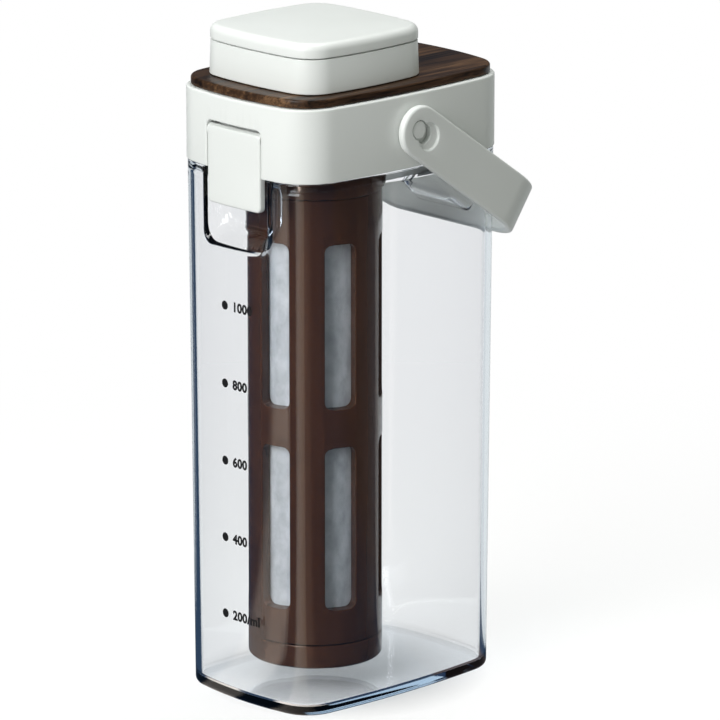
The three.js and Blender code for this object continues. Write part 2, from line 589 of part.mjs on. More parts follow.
function makeNeck() {
  const flangeTop = NECK_FLANGE_Z + NECK_FLANGE_HEIGHT;
  const neck = revolve([
    [NECK_SEAT_RADIUS, NECK_BOTTOM_Z],
    [NECK_OUTER_RADIUS, NECK_BOTTOM_Z],
    [NECK_OUTER_RADIUS, NECK_FLANGE_Z],
    [NECK_FLANGE_RADIUS, NECK_FLANGE_Z],
    [NECK_FLANGE_RADIUS, flangeTop],
    [NECK_BORE_RADIUS, flangeTop],
    [NECK_BORE_RADIUS, NECK_SEAT_Z],
    [NECK_SEAT_RADIUS, NECK_SEAT_Z],
  ]);
  return piece('fill_neck', neck, MATERIALS.white);
}

function makeSeatSeal() {
  const low = NECK_SEAT_Z + SEAT_GAP;
  const high = low + SEAT_SEAL_HEIGHT;
  const inner = NECK_SEAT_RADIUS - SEAT_GAP;
  const outer = COLLAR_FLANGE_RADIUS;
  const seal = revolve([[inner, low], [outer, low], [outer, high], [inner, high]]);
  return piece('filter_seat_seal', seal, MATERIALS.silicone);
}

// A wedge of the column, for lugs and the slots they turn in.
function wedge(radius, bottom, top, start, arc) {
  const shape = new THREE.Shape();
  shape.lineTo(radius * Math.cos(start), radius * Math.sin(start));
  shape.absarc(0, 0, radius, start, start + arc);
  const geometry = new THREE.ExtrudeGeometry(shape, {
    depth: top - bottom, bevelEnabled: false, curveSegments: SHORT_ARC_STEPS,
  });
  return solid(geometry.translate(0, 0, bottom));
}

function makeFilterCollar() {
  const socketTop = FILTER_TOP_Z + CAGE_SPIGOT_HEIGHT + SEAT_GAP;
  const socketRadius = CAGE_SPIGOT_RADIUS + SEAT_GAP;
  let collar = revolve([
    [socketRadius, COLLAR_BOTTOM_Z],
    [COLLAR_RADIUS, COLLAR_BOTTOM_Z],
    [COLLAR_RADIUS, FLANGE_BOTTOM_Z],
    [COLLAR_FLANGE_RADIUS, FLANGE_BOTTOM_Z],
    [COLLAR_FLANGE_RADIUS, FLANGE_TOP_Z],
    [COLLAR_NECK_RADIUS, FLANGE_TOP_Z],
    [COLLAR_NECK_RADIUS, COLLAR_TOP_Z],
    [COLLAR_BORE_RADIUS, COLLAR_TOP_Z],
    [COLLAR_BORE_RADIUS, socketTop],
    [socketRadius, socketTop],
  ]);
  const lugRadius = COLLAR_NECK_RADIUS + LUG_REACH;
  const bore = bar(COLLAR_BORE_RADIUS + SEAT_GAP, LUG_BOTTOM_Z - OVERRUN, LUG_TOP_Z + OVERRUN);
  for (let i = 0; i < LUG_COUNT; i += 1) {
    const start = (i * Math.PI * 2) / LUG_COUNT - LUG_ARC / 2;
    const lug = wedge(lugRadius, LUG_BOTTOM_Z, LUG_TOP_Z, start, LUG_ARC);
    collar = collar.add(lug.subtract(bore));
  }
  return piece('filter_collar', collar, MATERIALS.brown);
}

// One rounded window cutter, pointing out along its own direction from the column's axis.
function windowCutter(bottom, angle) {
  const radius = WINDOW_CORNER_RADIUS;
  const shape = uprightShape(WINDOW_WIDTH / 2, bottom, bottom + WINDOW_HEIGHT, radius, radius);
  const cutter = throughY(shape, -FILTER_RADIUS - OVERRUN, -FILTER_BORE_RADIUS / 2);
  return cutter.rotate([0, 0, THREE.MathUtils.radToDeg(angle + QUARTER_TURN)]);
}

function makeFilterCage() {
  const spigotTop = FILTER_TOP_Z + CAGE_SPIGOT_HEIGHT;
  const socketTop = FILTER_BOTTOM_Z + CAP_HEIGHT + CAP_SPIGOT_HEIGHT + SEAT_GAP;
  let cage = revolve([
    [FILTER_BORE_RADIUS, socketTop],
    [CAP_SOCKET_RADIUS, socketTop],
    [CAP_SOCKET_RADIUS, FILTER_JOINT_Z],
    [FILTER_RADIUS, FILTER_JOINT_Z],
    [FILTER_RADIUS, FILTER_TOP_Z],
    [CAGE_SPIGOT_RADIUS, FILTER_TOP_Z],
    [CAGE_SPIGOT_RADIUS, spigotTop],
    [FILTER_BORE_RADIUS, spigotTop],
  ]);
  WINDOW_BOTTOMS.forEach((bottom) => {
    for (let i = 0; i < WINDOW_COUNT; i += 1) {
      cage = cage.subtract(windowCutter(bottom, WINDOW_PHASE + i * WINDOW_PITCH));
    }
  });
  return piece('filter_cage', cage, MATERIALS.brown);
}

function makeFilterMesh() {
  const outer = FILTER_BORE_RADIUS - SEAT_GAP;
  const low = WINDOW_BOTTOMS[0] - MESH_END_MARGIN;
  const high = WINDOW_BOTTOMS[WINDOW_ROWS - 1] + WINDOW_HEIGHT + MESH_END_MARGIN;
  const inner = outer - MESH_WALL;
  const sleeve = revolve([[inner, low], [outer, low], [outer, high], [inner, high]]);
  return piece('filter_mesh', sleeve, MATERIALS.mesh);
}

function makeBaseCap() {
  const top = FILTER_BOTTOM_Z + CAP_HEIGHT;
  const edge = CAP_EDGE_RADIUS;
  const floorTop = FILTER_BOTTOM_Z + CAP_FLOOR;
  const inner = FILTER_RADIUS - CAP_WALL;
  const spigot = CAP_SOCKET_RADIUS - SEAT_GAP;
  const spigotInner = spigot - CAP_SPIGOT_WALL;
  const spigotTop = top + CAP_SPIGOT_HEIGHT;
  const grooveLow = spigotTop - CAP_SEAL_HEIGHT * 2;
  const grooveHigh = spigotTop - CAP_SEAL_HEIGHT + SEAT_GAP;
  const grooveRadius = spigot - CAP_SEAL_DEPTH;
  const cap = revolve([
    [0, FILTER_BOTTOM_Z],
    ...filletProfile(FILTER_RADIUS - edge, FILTER_BOTTOM_Z + edge, edge, -QUARTER_TURN, 0),
    [FILTER_RADIUS, top],
    [spigot, top],
    [spigot, grooveLow],
    [grooveRadius, grooveLow],
    [grooveRadius, grooveHigh],
    [spigot, grooveHigh],
    [spigot, spigotTop],
    [spigotInner, spigotTop],
    [spigotInner, floorTop + inner - spigotInner],
    [spigotInner - CAP_FLOOR, floorTop],
    [0, floorTop],
  ]);
  return piece('filter_base_cap', cap, MATERIALS.brown);
}

function makeBaseSeal() {
  const spigotTop = FILTER_BOTTOM_Z + CAP_HEIGHT + CAP_SPIGOT_HEIGHT;
  const outer = CAP_SOCKET_RADIUS - SEAT_GAP / 2;
  const inner = CAP_SOCKET_RADIUS - CAP_SEAL_DEPTH;
  const low = spigotTop - CAP_SEAL_HEIGHT * 2 + SEAT_GAP;
  const high = spigotTop - CAP_SEAL_HEIGHT;
  const ring = revolve([[inner, low], [outer, low], [outer, high], [inner, high]]);
  return piece('filter_base_seal', ring, MATERIALS.silicone);
}

function makeKnobRing() {
  const top = KNOB_BOTTOM_Z + KNOB_RING_HEIGHT;
  const ceiling = top - KNOB_DECK;
  const ring = planSolid(KNOB_PLAN, [
    [KNOB_WALL + KNOB_DRAFT, ceiling],
    [KNOB_WALL, KNOB_BOTTOM_Z],
    [0, KNOB_BOTTOM_Z],
    [KNOB_DRAFT, top],
  ]);
  const hole = bar(KNOB_SCREW_HOLE_RADIUS + SEAT_GAP, ceiling - OVERRUN, top + OVERRUN);
  return piece('knob_ring', ring.subtract(hole), MATERIALS.white);
}

function makeKnobTop() {
  const bottom = KNOB_BOTTOM_Z + KNOB_RING_HEIGHT + KNOB_GROOVE;
  const inset = KNOB_DRAFT - SEAT_GAP / 2;
  const edge = KNOB_TOP_EDGE;
  const flatInset = inset + edge;
  const rimTop = bottom + KNOB_TOP_HEIGHT;
  const sides = [
    [inset + SEAT_GAP, bottom],
    [inset, bottom + SEAT_GAP],
    ...filletProfile(flatInset, rimTop - edge, edge, Math.PI, QUARTER_TURN),
  ].map(([ringInset, z]) => KNOB_PLAN.ring(ringInset).map((p) => new THREE.Vector3(p.x, p.y, z)));
  const crown = KNOB_CROWN_RING_SHARES.map((share) => {
    const z = rimTop + KNOB_TOP_CROWN * (1 - share ** 2);
    return KNOB_PLAN.ring(flatInset).map((p) => new THREE.Vector3(p.x * share, p.y * share, z));
  });
  return piece('knob_top', loft([...sides, ...crown], false), MATERIALS.white);
}

function makeKnobCore() {
  const discBottom = KNOB_BOTTOM_Z + KNOB_RING_HEIGHT - KNOB_DECK - SEAT_GAP - CORE_DISC_HEIGHT;
  const discTop = discBottom + CORE_DISC_HEIGHT;
  const bossTop = KNOB_BOTTOM_Z + KNOB_RING_HEIGHT;
  const skirtBottom = FLANGE_TOP_Z + SEAT_GAP;
  const sealHigh = WOOD_TOP_Z - CORE_SEAL_DROP;
  const sealLow = sealHigh - CORE_SEAL_HEIGHT;
  const grooveRadius = CORE_SKIRT_RADIUS - CORE_SEAL_DEPTH;
  let core = revolve([
    [0, discBottom],
    [CORE_SKIRT_BORE_RADIUS, discBottom],
    [CORE_SKIRT_BORE_RADIUS, skirtBottom],
    [CORE_SKIRT_RADIUS, skirtBottom],
    [CORE_SKIRT_RADIUS, sealLow - SEAT_GAP],
    [grooveRadius, sealLow - SEAT_GAP],
    [grooveRadius, sealHigh + SEAT_GAP],
    [CORE_SKIRT_RADIUS, sealHigh + SEAT_GAP],
    [CORE_SKIRT_RADIUS, discBottom],
    [CORE_DISC_RADIUS, discBottom],
    [CORE_DISC_RADIUS, discTop],
    [KNOB_SCREW_HOLE_RADIUS, discTop],
    [KNOB_SCREW_HOLE_RADIUS, bossTop],
    [0, bossTop],
  ]);
  // Bayonet slots: each lets a collar lug in from below and then runs round to its stop.
  const slotRadius = COLLAR_NECK_RADIUS + LUG_REACH + SEAT_GAP;
  const slotLow = LUG_BOTTOM_Z - SEAT_GAP;
  const slotHigh = LUG_TOP_Z + SEAT_GAP;
  const side = SEAT_GAP / COLLAR_NECK_RADIUS;
  const slotArc = KNOB_TURN + LUG_ARC + side * 2;
  const hollow = bar(CORE_SKIRT_BORE_RADIUS - SEAT_GAP, skirtBottom - OVERRUN, slotHigh + OVERRUN);
  for (let i = 0; i < LUG_COUNT; i += 1) {
    const end = (i * Math.PI * 2) / LUG_COUNT + LUG_ARC / 2 + side;
    const run = wedge(slotRadius, slotLow, slotHigh, end - slotArc, slotArc);
    const entry = wedge(slotRadius, skirtBottom - OVERRUN, slotHigh, end - slotArc, LUG_ARC + side * 2);
    core = core.subtract(run.add(entry).subtract(hollow));
  }
  return piece('knob_core', core, MATERIALS.brown);
}

function makeKnobSeal() {
  const high = WOOD_TOP_Z - CORE_SEAL_DROP;
  const low = high - CORE_SEAL_HEIGHT;
  const inner = CORE_SKIRT_RADIUS - CORE_SEAL_DEPTH + SEAT_GAP;
  const outer = NECK_BORE_RADIUS - SEAT_GAP / 2;
  const middle = (low + high) / 2;
  const lip = outer - SEAT_GAP;
  const ring = revolve([[inner, low], [lip, low], [outer, middle], [lip, high], [inner, high]]);
  return piece('knob_seal', ring, MATERIALS.silicone);
}

// The latch at the front: a tab flush with the band, its hinge barrel and the hook behind it.
function latchBody() {
  const corner = LATCH_CORNER_RADIUS;
  const face = planSolid(LID_PLAN, [
    [LID_BAND_WALL, LATCH_BOTTOM_Z],
    [0, LATCH_BOTTOM_Z],
    [0, LATCH_TOP_Z],
    [LID_BAND_WALL, LATCH_TOP_Z],
  ], true);
  const outline = uprightShape(LATCH_HALF_WIDTH, LATCH_BOTTOM_Z, LATCH_TOP_Z, corner, corner);
  const tab = face.intersect(throughY(outline, -LID_HALF_DEPTH - OVERRUN, -LID_HALF_DEPTH / 2));
  const barrel = crossBar(LATCH_BARREL_RADIUS, -LATCH_HALF_WIDTH, LATCH_HALF_WIDTH, LATCH_PIN_Y, LATCH_PIN_Z);
  const bore = crossBar(LATCH_PIN_BORE_RADIUS, -LATCH_HALF_WIDTH - OVERRUN,
    LATCH_HALF_WIDTH + OVERRUN, LATCH_PIN_Y, LATCH_PIN_Z);
  const hookTop = POCKET_ROOF_Z - SEAT_GAP;
  const innerFace = LID_BAND_WALL - LID_HALF_DEPTH;
  const profile = new THREE.Shape();
  profile.moveTo(innerFace - LID_BAND_WALL / 2, hookTop);
  profile.lineTo(innerFace + LATCH_HOOK_REACH, hookTop);
  profile.lineTo(innerFace + LATCH_HOOK_REACH, hookTop - LATCH_HOOK_HEIGHT / 2);
  profile.lineTo(innerFace - LATCH_HOOK_HEIGHT / 2, hookTop - LATCH_HOOK_HEIGHT * 2);
  const geometry = new THREE.ExtrudeGeometry(profile, {
    depth: LATCH_HOOK_HALF_WIDTH * 2, bevelEnabled: false,
  });
  // The profile is drawn as (y, z), so it is stood up and then run along X.
  geometry.rotateX(QUARTER_TURN).rotateZ(QUARTER_TURN).translate(-LATCH_HOOK_HALF_WIDTH, 0, 0);
  return tab.add(barrel).add(solid(geometry)).subtract(bore);
}

function latchPin() {
  return crossBar(LATCH_PIN_RADIUS, -LATCH_PIN_REACH, LATCH_PIN_REACH, LATCH_PIN_Y, LATCH_PIN_Z);
}

function makeLatches() {
  const latch = latchBody();
  const pin = latchPin();
  return [
    piece('front_latch', latch, MATERIALS.white),
    piece('back_latch', turnedToBack(latch), MATERIALS.white),
    piece('front_latch_pin', pin, MATERIALS.steel),
    piece('back_latch_pin', turnedToBack(pin), MATERIALS.steel),
  ];
}

// How far the crossbar's inner face lies from the pivot, so that its lower edge leans on the jug.
function handleReach() {
  const halfWidth = HANDLE_WIDTH / 2;
  const dropShare = Math.sin(HANDLE_REST_ANGLE);
  const runShare = Math.cos(HANDLE_REST_ANGLE);
  const contactZ = HANDLE_PIVOT_Z - LID_HALF_DEPTH * (dropShare / runShare) - halfWidth / runShare;
  const wall = LID_HALF_DEPTH - jugInset(contactZ) + SEAT_GAP;
  return (wall + halfWidth * dropShare) / runShare;
}

// The slot's outline along the arm, in the arm's own plane, starting round the stud.
function slotShape() {
  const shape = new THREE.Shape();
  shape.absarc(0, 0, HANDLE_SLOT_RADIUS, QUARTER_TURN, QUARTER_TURN * 3);
  shape.absarc(HANDLE_SLOT_LENGTH, 0, HANDLE_SLOT_RADIUS, -QUARTER_TURN, QUARTER_TURN);
  return shape;
}

// The outline of the round dish about the slot's far end.
function dishShape() {
  const shape = new THREE.Shape();
  shape.absarc(HANDLE_DISH_REACH, 0, HANDLE_DISH_RADIUS, 0, Math.PI * 2);
  return shape;
}

// A shape drawn as (along the arm, across the arm) and run along X.
function acrossArms(shape, from, to) {
  const geometry = new THREE.ExtrudeGeometry(shape, {
    depth: to - from, bevelEnabled: false, curveSegments: SHORT_ARC_STEPS,
  });
  return solid(geometry.rotateX(QUARTER_TURN).rotateZ(QUARTER_TURN).translate(from, 0, 0));
}

function makeHandle() {
  const halfWidth = HANDLE_WIDTH / 2;
  const reach = handleReach();
  const end = reach + HANDLE_THICKNESS;
  const root = HANDLE_EYE_OFFSET - halfWidth - OVERRUN;
  const bend = HANDLE_BEND_RADIUS;
  const innerBend = bend - HANDLE_THICKNESS;
  // The U of the two arms and the crossbar, drawn as (x, along the arm).
  const bail = new THREE.Shape();
  bail.moveTo(HANDLE_OUTER_X, root);
  bail.lineTo(HANDLE_OUTER_X, end - bend);
  bail.absarc(HANDLE_OUTER_X - bend, end - bend, bend, 0, QUARTER_TURN);
  bail.absarc(bend - HANDLE_OUTER_X, end - bend, bend, QUARTER_TURN, Math.PI);
  bail.lineTo(-HANDLE_OUTER_X, root);
  bail.lineTo(-HANDLE_INNER_X, root);
  bail.absarc(innerBend - HANDLE_INNER_X, reach - innerBend, innerBend, Math.PI, QUARTER_TURN, true);
  bail.absarc(HANDLE_INNER_X - innerBend, reach - innerBend, innerBend, QUARTER_TURN, 0, true);
  bail.lineTo(HANDLE_INNER_X, root);
  const bailGeometry = new THREE.ExtrudeGeometry(bail, {
    depth: HANDLE_WIDTH, bevelEnabled: false, curveSegments: BEND_STEPS,
  });
  const strip = solid(bailGeometry.translate(0, 0, -halfWidth));
  // The side view rounds the two roots.
  const side = new THREE.Shape();
  side.absarc(HANDLE_EYE_OFFSET, 0, halfWidth, QUARTER_TURN, QUARTER_TURN * 3);
  side.lineTo(end + OVERRUN, -halfWidth);
  side.lineTo(end + OVERRUN, halfWidth);
  const handleBlank = strip.intersect(acrossArms(side, -HANDLE_OUTER_X - OVERRUN, HANDLE_OUTER_X + OVERRUN));
  const outside = HANDLE_OUTER_X + OVERRUN;
  const throughSlot = acrossArms(slotShape(), HANDLE_INNER_X - OVERRUN, outside);
  const dish = acrossArms(dishShape(), HANDLE_OUTER_X - HANDLE_DISH_DEPTH, outside);
  const openings = throughSlot.add(dish);
  const handle = handleBlank.subtract(openings).subtract(openings.mirror([1, 0, 0]));
  const mesh = piece('handle', handle, MATERIALS.white);
  mesh.position.set(0, 0, HANDLE_PIVOT_Z);
  mesh.rotation.x = -HANDLE_REST_ANGLE;
  return mesh;
}

// A stud pressed into the band, on which the handle swings, with its end inside the arm's slot.
function studBody() {
  const bandInner = LID_HALF_WIDTH - LID_BAND_WALL - STUD_BOSS_LENGTH + SEAT_GAP;
  return crossBar(STUD_RADIUS, bandInner, HANDLE_OUTER_X - STUD_END_INSET, 0, HANDLE_PIVOT_Z);
}

function makeStuds() {
  const stud = studBody();
  return [
    piece('right_handle_stud', stud, MATERIALS.white),
    piece('left_handle_stud', stud.mirror([1, 0, 0]), MATERIALS.white),
  ];
}

// Everything on the filter's own axis, grouped so that it shares one place.
const column = new THREE.Group();
column.position.y = COLUMN_Y;
column.add(
  makeNeck(), makeSeatSeal(), makeFilterCollar(), makeFilterCage(), makeFilterMesh(),
  makeBaseCap(), makeBaseSeal(), makeKnobRing(), makeKnobTop(), makeKnobCore(), makeKnobSeal(),
);

const coffeeMaker = new THREE.Group();
coffeeMaker.add(
  makeJug(), makeLidShell(), makeWoodPlate(), makeLidTray(), makeLidGasket(), column,
  ...makeLatches(), makeHandle(), ...makeStuds(),
);

export default coffeeMaker;
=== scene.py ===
"""Dresses a cold brew coffee maker: a clear pitcher, a latching lid, a bail handle and a lift-out filter.

Metres, +Z up, with the origin at the centre of the base and the narrow front facing -Y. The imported
frame gives the places, and each sub-assembly models its own finished pieces around it.
"""

import logging
import math
from dataclasses import dataclass, field
from enum import Enum
from functools import cached_property
from typing import Optional, Sequence, Union

import bmesh
import bpy
from mathutils import Matrix, Vector


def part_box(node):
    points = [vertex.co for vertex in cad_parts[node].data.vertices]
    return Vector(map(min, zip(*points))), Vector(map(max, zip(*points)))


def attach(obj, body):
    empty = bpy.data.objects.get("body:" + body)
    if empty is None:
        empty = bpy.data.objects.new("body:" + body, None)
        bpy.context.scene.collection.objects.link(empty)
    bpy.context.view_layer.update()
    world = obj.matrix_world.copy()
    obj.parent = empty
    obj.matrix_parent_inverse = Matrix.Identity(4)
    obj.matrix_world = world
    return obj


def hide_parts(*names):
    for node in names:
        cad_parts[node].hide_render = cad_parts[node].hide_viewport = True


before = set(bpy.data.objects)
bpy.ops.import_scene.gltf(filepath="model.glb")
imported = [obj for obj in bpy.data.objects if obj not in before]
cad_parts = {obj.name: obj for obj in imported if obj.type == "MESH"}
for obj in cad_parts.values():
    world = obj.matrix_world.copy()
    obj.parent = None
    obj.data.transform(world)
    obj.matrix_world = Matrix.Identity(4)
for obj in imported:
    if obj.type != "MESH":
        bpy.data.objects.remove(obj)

log = logging.getLogger("cold_brew_maker")

Piece = bpy.types.Object
Material = bpy.types.Material
Socket = bpy.types.NodeSocket
Point = tuple[float, float]
Corner = tuple[float, float, float]
Colour = tuple[float, float, float]
Triple = tuple[float, float, float]
Ring = list[Vector]
Station = tuple[Vector, Vector, list[Point]]
Feed = Union[Socket, float, Colour]

HALF_TURN = math.pi
QUARTER_TURN = math.pi / 2
OVERRUN = 0.002  # how far a cutter passes the face it cuts
SEAT_GAP = 0.0003  # between pieces that rest on or fit in each other
WELD = 1e-6  # points closer than this are one
ROUNDING = 8e-6  # a length below this comes from rounding
CREASE = math.radians(32)  # edges sharper than this stay sharp
X_AXIS = Vector((1, 0, 0))
Z_AXIS = Vector((0, 0, 1))
TO_BACK = Matrix.Rotation(HALF_TURN, 4, "Z")  # carries a front piece to the back
TO_LEFT = Matrix.Scale(-1, 4, X_AXIS)  # mirrors a right piece to the left
WHITE: Colour = (1.0, 1.0, 1.0)
NO_BOUNCE = 0.5  # a ray's count of bounces is above this once it has bounced
MIX_SHARE, MIX_FIRST, MIX_SECOND = 0, 6, 7  # a mix node's inputs for colour, which share names
MIX_RESULT = 2  # its output for colour


class Body(Enum):
    """The bodies of the frame that a piece can ride on."""

    ROOT = "root"
    HANDLE = "handle"
    FRONT_LATCH = "front_latch"
    BACK_LATCH = "back_latch"
    FILTER = "filter"
    FILTER_BASE = "filter_base"
    KNOB = "knob"


class End(Enum):
    """How the end of a skin is finished."""

    FLAT = "flat"
    POLE = "pole"
    OPEN = "open"


class Operation(Enum):
    """What a tool does to a piece."""

    CUT = "DIFFERENCE"
    UNITE = "UNION"


def rounded(corners: Sequence[Corner], steps: int = 6, closed: bool = False) -> list[Point]:
    """Rounds the corners of a line in a plane.

    Args:
        corners: The corners as (u, v, radius). A radius of zero keeps the corner sharp.
        steps: Stretches in each arc.
        closed: Whether the last corner joins the first.

    Returns:
        The points of the rounded line.
    """
    points: list[Point] = []
    count = len(corners)
    for index, (u, v, radius) in enumerate(corners):
        here = Vector((u, v))
        at_end = not closed and index in (0, count - 1)
        if radius == 0 or at_end:
            points.append((u, v))
            continue
        before = (Vector(corners[index - 1][:2]) - here).normalized()
        after = (Vector(corners[(index + 1) % count][:2]) - here).normalized()
        half = before.angle(after) / 2
        start = here + before * (radius / math.tan(half))
        centre = here + (before + after).normalized() * (radius / math.sin(half))
        turn = HALF_TURN - half * 2
        sense = 1 if before.x * after.y - before.y * after.x < 0 else -1
        arm = start - centre
        for step in range(steps + 1):
            angle = sense * turn * step / steps
            cosine, sine = math.cos(angle), math.sin(angle)
            u_reach = arm.x * cosine - arm.y * sine
            v_reach = arm.x * sine + arm.y * cosine
            points.append((centre.x + u_reach, centre.y + v_reach))
    return points


@dataclass(frozen=True)
class BulgedPlan:
    """A plan of four bulging sides joined by tangent corner arcs.

    Every inset keeps the arc centres, so that all its rings match point by point.
    """

    half_width: float
    half_depth: float
    long_bulge: float
    narrow_bulge: float
    corner_radius: float
    centre_y: float = 0.0
    side_steps: int = 18
    corner_steps: int = 12

    @property
    def long_radius(self) -> float:
        """The radius of the long sides."""
        return (self.half_depth ** 2 + self.long_bulge ** 2) / (self.long_bulge * 2)

    @property
    def narrow_radius(self) -> float:
        """The radius of the narrow sides."""
        return (self.half_width ** 2 + self.narrow_bulge ** 2) / (self.narrow_bulge * 2)

    @property
    def long_centre(self) -> float:
        """Where the right long side's arc has its centre, along X."""
        return self.half_width - self.long_radius

    @property
    def narrow_centre(self) -> float:
        """Where the back narrow side's arc has its centre, along Y."""
        return self.half_depth - self.narrow_radius

    def corner(self) -> Vector:
        """Finds the corner arc, which touches both sides from inside.

        Returns:
            The arc's centre at the back right corner.
        """
        from_long = self.long_radius - self.corner_radius
        from_narrow = self.narrow_radius - self.corner_radius
        apart = math.hypot(self.long_centre, self.narrow_centre)
        along = (from_long ** 2 - from_narrow ** 2 + apart ** 2) / (apart * 2)
        off = math.sqrt(from_long ** 2 - along ** 2)
        ux, uy = -self.long_centre / apart, self.narrow_centre / apart
        centre = Vector((self.long_centre + ux * along - uy * off, uy * along + ux * off))
        if centre.x < 0 or centre.y < 0:
            centre = Vector((self.long_centre + ux * along + uy * off, uy * along - ux * off))
        return centre

    def ring(self, inset: float, z: float) -> Ring:
        """One level ring of the plan.

        Args:
            inset: How far the ring lies inside the outline.
            z: The ring's height.

        Returns:
            The ring's points, counter-clockwise from the middle of the right long side.
        """
        corner = self.corner()
        start = math.atan2(corner.y, corner.x - self.long_centre)
        end = math.atan2(corner.y - self.narrow_centre, corner.x)
        quarter = [
            *arc(self.long_centre, 0, self.long_radius - inset, 0, start, self.side_steps)[:-1],
            *arc(corner.x, corner.y, self.corner_radius - inset, start, end, self.corner_steps)[:-1],
            *arc(0, self.narrow_centre, self.narrow_radius - inset, end, QUARTER_TURN, self.side_steps),
        ]
        half = quarter + [(-x, y) for x, y in reversed(quarter[:-1])]
        whole = half + [(x, -y) for x, y in reversed(half[1:-1])]
        return [Vector((x, y + self.centre_y, z)) for x, y in whole]

    def front(self, x: float, inset: float) -> float:
        """Where the front face lies along Y.

        Args:
            x: The place across the face.
            inset: How far the face is moved in.

        Returns:
            The face's Y.
        """
        radius = self.narrow_radius - inset
        return self.centre_y - self.narrow_centre - math.sqrt(radius * radius - x * x)


def arc(
    centre_u: float, centre_v: float, radius: float, start: float, end: float, steps: int
) -> list[Point]:
    """Points along an arc, both ends included.

    Args:
        centre_u: The centre's first coordinate.
        centre_v: The centre's second coordinate.
        radius: The arc's radius.
        start: The angle at which it starts.
        end: The angle at which it ends.
        steps: The number of stretches.

    Returns:
        The arc's points.
    """
    angles = [start + (end - start) * step / steps for step in range(steps + 1)]
    return [(centre_u + radius * math.cos(a), centre_v + radius * math.sin(a)) for a in angles]


def stretch(first: Point, last: Point, steps: int) -> list[Point]:
    """Points that divide a straight run, without its last end."""
    (u0, v0), (u1, v1) = first, last
    return [(u0 + (u1 - u0) * step / steps, v0 + (v1 - v0) * step / steps) for step in range(steps)]


def along_x(start: float, end: float, y: float, z: float) -> tuple[Vector, Vector]:
    """The two ends of a bar that lies along X."""
    return Vector((start, y, z)), Vector((end, y, z))


def along_z(y: float, start: float, end: float) -> tuple[Vector, Vector]:
    """The two ends of a bar that stands in the middle plane."""
    return Vector((0, y, start)), Vector((0, y, end))


@dataclass(frozen=True)
class Outline:
    """An upright rounded rectangle, which can grow or shrink and keep its number of points."""

    half_width: float
    low: float
    high: float
    low_radius: float
    high_radius: float
    fixed_top: bool = False
    side_steps: int = 8
    arc_steps: int = 8

    def ring(self, offset: float = 0.0) -> list[Point]:
        """The outline's points.

        Args:
            offset: How far the outline grows on each side.

        Returns:
            The points as (u, v), counter-clockwise from the lower right corner.
        """
        half, low = self.half_width + offset, self.low - offset
        high = self.high if self.fixed_top else self.high + offset
        low_r = max(self.low_radius + offset, 0)
        high_r = 0 if self.fixed_top else max(self.high_radius + offset, 0)
        arcs = [
            arc(half - low_r, low + low_r, low_r, -QUARTER_TURN, 0, self.arc_steps),
            arc(half - high_r, high - high_r, high_r, 0, QUARTER_TURN, self.arc_steps),
            arc(high_r - half, high - high_r, high_r, QUARTER_TURN, HALF_TURN, self.arc_steps),
            arc(low_r - half, low + low_r, low_r, HALF_TURN, HALF_TURN + QUARTER_TURN, self.arc_steps),
        ]
        points: list[Point] = []
        for here, following in zip(arcs, arcs[1:] + arcs[:1]):
            points += [*here[:-1], *stretch(here[-1], following[0], self.side_steps)]
        return points


def eased_mouth(radius: float, steps: int = 5) -> list[Point]:
    """How a cutter widens towards the face it cuts, so that it leaves a rounded edge.

    Args:
        radius: The edge's radius.
        steps: Stretches in the rounding.

    Returns:
        Pairs of (growth, depth), from the face inwards.
    """
    angles = [QUARTER_TURN * step / steps for step in range(steps + 1)]
    return [(radius * (1 - math.sin(a)), radius * (1 - math.cos(a))) for a in angles]


def eased_foot(radius: float, end: float, steps: int = 5) -> list[Point]:
    """How a cutter narrows towards its far end, so that it leaves a rounded bottom.

    Args:
        radius: The rounding's radius.
        end: The depth at which the cutter ends.
        steps: Stretches in the rounding.

    Returns:
        Pairs of (growth, depth), towards the far end.
    """
    angles = [QUARTER_TURN * step / steps for step in range(steps + 1)]
    return [(-radius * (1 - math.cos(a)), end - radius + radius * math.sin(a)) for a in angles]


